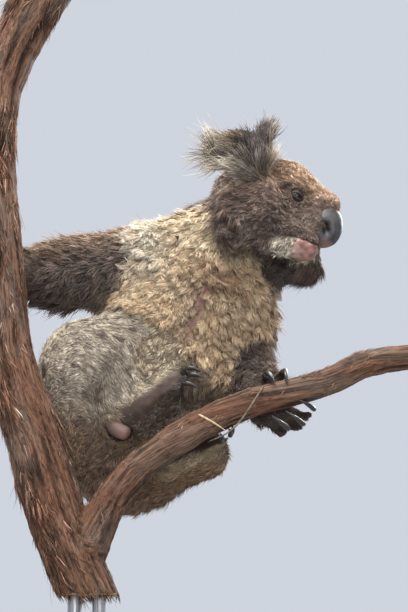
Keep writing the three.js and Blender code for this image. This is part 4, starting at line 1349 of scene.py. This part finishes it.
# Each knot has a place, a reach and how far it stands out.
KNOTS = [((-212, -22, -200), 12, 5), ((-190, -26, -243), 10, 4), ((-82, -16, -226), 9, 5),
         ((52, -12, -112), 8, 3), ((-240, 20, -20), 11, 5), ((-140, 26, -290), 12, 5),
         ((-262, -18, 230), 10, 4), ((110, 12, -100), 8, 3)]
heave = 1.5 * ridges + 1.6 * coarse + 0.9 * fine_ridges - 0.6
heave *= np.where(limb == 0, 1.0, 0.75)
for knot_place, knot_reach, knot_rise in KNOTS:
    gap = np.linalg.norm(Q - np.array(knot_place), axis=1) / knot_reach
    heave += knot_rise * (np.exp(-gap ** 2) - 0.9 * np.exp(-(gap / 0.42) ** 2))
heave *= 1 - cut_end
bark_place = bark_place + bark_normal * (np.clip(heave, -3, 4.5) * MM)[:, None]
bark.data.vertices.foreach_set("co", bark_place.astype(np.float32).ravel())
bark.data.update()
print("bark raised from", round(float(heave.min()), 1), "to", round(float(heave.max()), 1), "mm")

# %% Colour the wood by its relief, with painted shade in its hollows
FURROW, RIDGE, WEATHERED = tint("#33241c"), tint("#7b5d4b"), tint("#6d6056")
RUST, CRACK_SHADE, FRESH_WOOD = tint("#6b4838"), tint("#2f211a"), tint("#c9a878")
# The bark is darker in its furrows and cracks and lighter on its ridges: partly its own colour, partly
# painted shade and light that follow the relief.
crest = ramp(ridges + 0.6 * fine_ridges, -0.2, 1.0)
bark_colour = FURROW * (1 - crest[:, None]) + RIDGE * crest[:, None]
grey_patch = ramp(coarse, 0.05, 0.4)[:, None] * 0.45
bark_colour = bark_colour * (1 - grey_patch) + WEATHERED * grey_patch
rust_patch = ramp(coarse, -0.05, -0.35)[:, None] * 0.55
bark_colour = bark_colour * (1 - rust_patch) + RUST * rust_patch
crack_shade = ramp(heave, -0.8, -2.2)[:, None]
bark_colour = bark_colour * (1 - 0.7 * crack_shade) + CRACK_SHADE * 0.7 * crack_shade
bark_colour = bark_colour * (1 - cut_end[:, None]) + FRESH_WOOD * cut_end[:, None]


def store_numbers(mesh, name, kind, values):
    field = mesh.attributes.new(name, kind, "POINT")
    field.data.foreach_set("vector" if kind == "FLOAT_VECTOR" else "value", values.astype(np.float32).ravel())


store_colour(bark.data, bark_colour)
store_numbers(bark.data, "grain_place", "FLOAT_VECTOR",
              np.column_stack([wood_offset[:, :2], wood_offset[:, 2] + travelled / 10]) * MM)
store_numbers(bark.data, "ring_place", "FLOAT", np.linalg.norm(wood_offset, axis=1))
store_numbers(bark.data, "cut_end", "FLOAT", cut_end)

# %% [markdown]
# The bark's finish reads its colour from the mesh, as the coat does. Streaks finer than the mesh come from
# noise in a place that was stretched along the grain and stored on the mesh, so they follow the bends.
# The sawn ends show growth rings, which are waves of the distance from the limb's middle.

# %% The bark's finish
bark_finish, tree, shader = new_material("stringy_bark", 0.85)
shader.inputs["Specular IOR Level"].default_value = 0.3
painted = node(tree, "ShaderNodeAttribute", "painted bark", attribute_name="coat_colour")
along = node(tree, "ShaderNodeAttribute", "place along the grain", attribute_name="grain_place")
fibre = noise(tree, along.outputs["Vector"], 800, 4.0, 0.7)
weather = noise(tree, object_place(tree), 60, 3.0)
streak = mix(tree, "MIX", span(tree, fibre, 0.32, 0.68, 0, 1), (0.3, 0.26, 0.24, 1), (1.7, 1.65, 1.6, 1))
streaky = mix(tree, "MULTIPLY", 0.85, painted.outputs["Color"], streak)
# Painted shade: thin dark lines that wander along the grain stand for cracks, which the surface doesn't have.
wander = noise(tree, along.outputs["Vector"], 230, 2.0)
seam = arithmetic(tree, "ABSOLUTE", arithmetic(tree, "SUBTRACT", wander, 0.5), 0.0)
crack_shaded = mix(tree, "MULTIPLY", span(tree, seam, 0.0, 0.035, 0.85, 0), streaky, (0.16, 0.12, 0.1, 1))
patched = mix(tree, "MIX", span(tree, weather, 0.58, 0.75, 0, 0.35), crack_shaded, (*tint("#7a6d62"), 1))
ring_place = node(tree, "ShaderNodeAttribute", "distance from the pith", attribute_name="ring_place")
wobble = arithmetic(tree, "ADD", ring_place.outputs["Fac"], span(tree, weather, 0, 1, -1.2, 1.2))
rings_wave = arithmetic(tree, "SINE", arithmetic(tree, "MULTIPLY", wobble, 2.6), 0.0)
sawn = mix(tree, "MIX", span(tree, rings_wave, -1, 1, 0, 1), (*tint("#b18b5c"), 1), (*tint("#d8bc8e"), 1))
cut_mask = node(tree, "ShaderNodeAttribute", "sawn ends", attribute_name="cut_end")
tree.links.new(mix(tree, "MIX", cut_mask.outputs["Fac"], patched, sawn), shader.inputs["Base Color"])
tree.links.new(span(tree, fibre, 0.3, 0.7, 0.95, 0.7), shader.inputs["Roughness"])
bump(tree, shader, fibre, 0.8, 0.0016)
bark.data.materials.clear()
bark.data.materials.append(bark_finish)
bark.data.polygons.foreach_set("use_smooth", np.ones(len(bark.data.polygons), bool))
for other in bpy.context.selected_objects:
    other.select_set(False)
bpy.context.view_layer.objects.active = bark
bark.select_set(True)
bark.data.uv_layers.new(name="OFBake")
bpy.ops.object.mode_set(mode="EDIT")
bpy.ops.mesh.select_all(action="SELECT")
bpy.ops.uv.smart_project(angle_limit=1.15, island_margin=0.002)
bpy.ops.object.mode_set(mode="OBJECT")
bark.select_set(False)
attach(bark, "root")
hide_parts("perch_fork")
print("bark has", len(bark.data.polygons), "faces")

# %% [markdown]
# Loose strings of bark are grown with the same function as the fur: long, thin and nearly flat, gathered
# into hanks, with a few strays that stand off the edge of the trunk.

# %% Fray the bark
fibre_material, tree, shader = new_material("bark_fibre", 0.85)
shader.inputs["Specular IOR Level"].default_value = 0.2
painted = node(tree, "ShaderNodeAttribute", "painted fibre", attribute_name="coat_colour")
dust = grained(tree, "#b9b0a8", "#ffffff", 300)[0]
tree.links.new(mix(tree, "MULTIPLY", 0.6, painted.outputs["Color"], dust), shader.inputs["Base Color"])
ones = np.ones(len(Q))
on_trunk = (limb == 0).astype(float)
grain_sign = np.where(limb == 0, -1.0, 1.0)[:, None]
down_grain = grain_way * grain_sign
fibre_way = unit(down_grain - bark_normal * (down_grain * bark_normal).sum(axis=1)[:, None])
fringe = ramp(grain_noise(40, 2, 7, 1), 0.1, 0.5)
koala_tree = KDTree(len(skin_place))
for i, place in enumerate(skin_place):
    koala_tree.insert(place, i)
koala_tree.balance()
nearness = np.array([koala_tree.find(place)[2] for place in bark_place]) / MM
clear_of_koala = ramp(nearness, 3, 14)
bark_ground = ground_of(bark, place=bark_place, normal=bark_normal, comb=fibre_way,
                        length=(16 + 16 * fringe) * (0.6 + 0.4 * on_trunk) * (0.4 + 0.6 * clear_of_koala),
                        lift=np.radians(1.0 + 5 * fringe), width=0.45 + 0.3 * on_trunk,
                        curl=0.9 * ones, gather=0.45 * ones,
                        growth=(1 - cut_end) * (0.35 + fringe) * (0.2 + 0.8 * clear_of_koala),
                        colour=np.clip(bark_colour * 1.4, 0, 1))
grow("bark_fibres", bark_ground, ones, 12000, 3, 31, fibre_material, "bark",
     locks=4, stray=0.03, shade=(0.8, 1.1), vary=0.42)

# %% [markdown]
# A thin dead twig leans across the branch, and a pale splinter has torn up from its bark. Each is a tube
# spun from a small circle that is extruded along a few points and made narrower toward its end.

# %% Twig and splinter
def tapered_tube(build, points, radii, sides=8):
    """A tube through some points, closed at both ends, as wide at each as its radius says."""
    ring = bmesh.ops.create_circle(build, cap_ends=True, segments=sides, radius=1)["verts"]
    template = [corner.co.copy() for corner in ring]
    for index, (point, radius) in enumerate(zip(points, radii)):
        if index:
            ring = extrude_ring(build, ring)
        ahead = (points[min(index + 1, len(points) - 1)] - points[max(index - 1, 0)]).normalized()
        turn = ahead.to_track_quat("Z", "Y").to_matrix()
        for corner, place in zip(ring, template):
            corner.co = point + turn @ (place * radius)
    bmesh.ops.contextual_create(build, geom=ring)


STICKS = {
    "dry_twig": ("#3f352f", "#8a7b6d", (0.9, 1.2, 1.3, 1.3, 1.1, 0.5),
                 [(74, -11, -102), (66, -22, -116), (55, -27, -134), (43, -27, -152), (27, -25, -166),
                  (4, -22, -174)]),
    "pale_splinter": ("#a08a6c", "#d8c7a6", (1.6, 1.5, 1.1, 0.4),
                      [(-8, -19, -139), (6, -23, -147), (18, -21, -154), (28, -20, -161)]),
}
for stick_name, (dark, pale, radii, route) in STICKS.items():
    stick_wood, tree, shader = new_material(stick_name, 0.8)
    stick_colour, dry = grained(tree, dark, pale, 500, (0.4, 1, 0.4))
    tree.links.new(stick_colour, shader.inputs["Base Color"])
    bump(tree, shader, dry, 0.5, 0.0004)
    stick = bmesh.new()
    tapered_tube(stick, [spot(*place) for place in route], [radius * MM for radius in radii])
    made = piece_from(stick, stick_name, stick_wood, "bark")
    rounder = made.modifiers.new("rounder", "SUBSURF")
    rounder.levels = rounder.render_levels = 2

# %% [markdown]
# ## The stand
# The board and the two rods keep the frame's own shape, so only their finish changes. The board is dark
# stained oak: long grain along X, with pores, under a satin lacquer. The rods are brushed steel, where fine
# scratches run along the length and break up the shine.

# %% Stained board and brushed rods
board_finish, tree, shader = new_material("stained_oak", 0.4)
shader.inputs["Coat Weight"].default_value = 0.3
shader.inputs["Coat Roughness"].default_value = 0.25
oak = grained(tree, "#2b1d15", "#5b4030", 22, (0.12, 1, 1))[0]
pores = noise(tree, object_place(tree), 500, 2.0, 0.5, (0.06, 1, 1))
tree.links.new(mix(tree, "MULTIPLY", span(tree, pores, 0.55, 0.7, 0, 0.7), oak, (0.3, 0.26, 0.24, 1)),
               shader.inputs["Base Color"])
tree.links.new(span(tree, pores, 0.4, 0.7, 0.34, 0.5), shader.inputs["Roughness"])
bump(tree, shader, pores, 0.25, 0.0004)
rod_finish, tree, shader = new_material("brushed_rod", 0.32)
shader.inputs["Metallic"].default_value = 1.0
steel, scratches = grained(tree, "#8b8e92", "#c4c7ca", 900, (1, 1, 0.02))
tree.links.new(steel, shader.inputs["Base Color"])
tree.links.new(span(tree, scratches, 0.3, 0.7, 0.26, 0.42), shader.inputs["Roughness"])
bump(tree, shader, scratches, 0.15, 0.0002)
stand_finishes = {"stand_base": board_finish, "stand_rod_1": rod_finish, "stand_rod_2": rod_finish}
for node_name, finish in stand_finishes.items():
    for slot_holder in nodes[node_name].material_slots:
        slot_holder.material = finish
print("stand finished")

# %% [markdown]
# ## Finish

# %% Update the scene
bpy.context.view_layer.update()
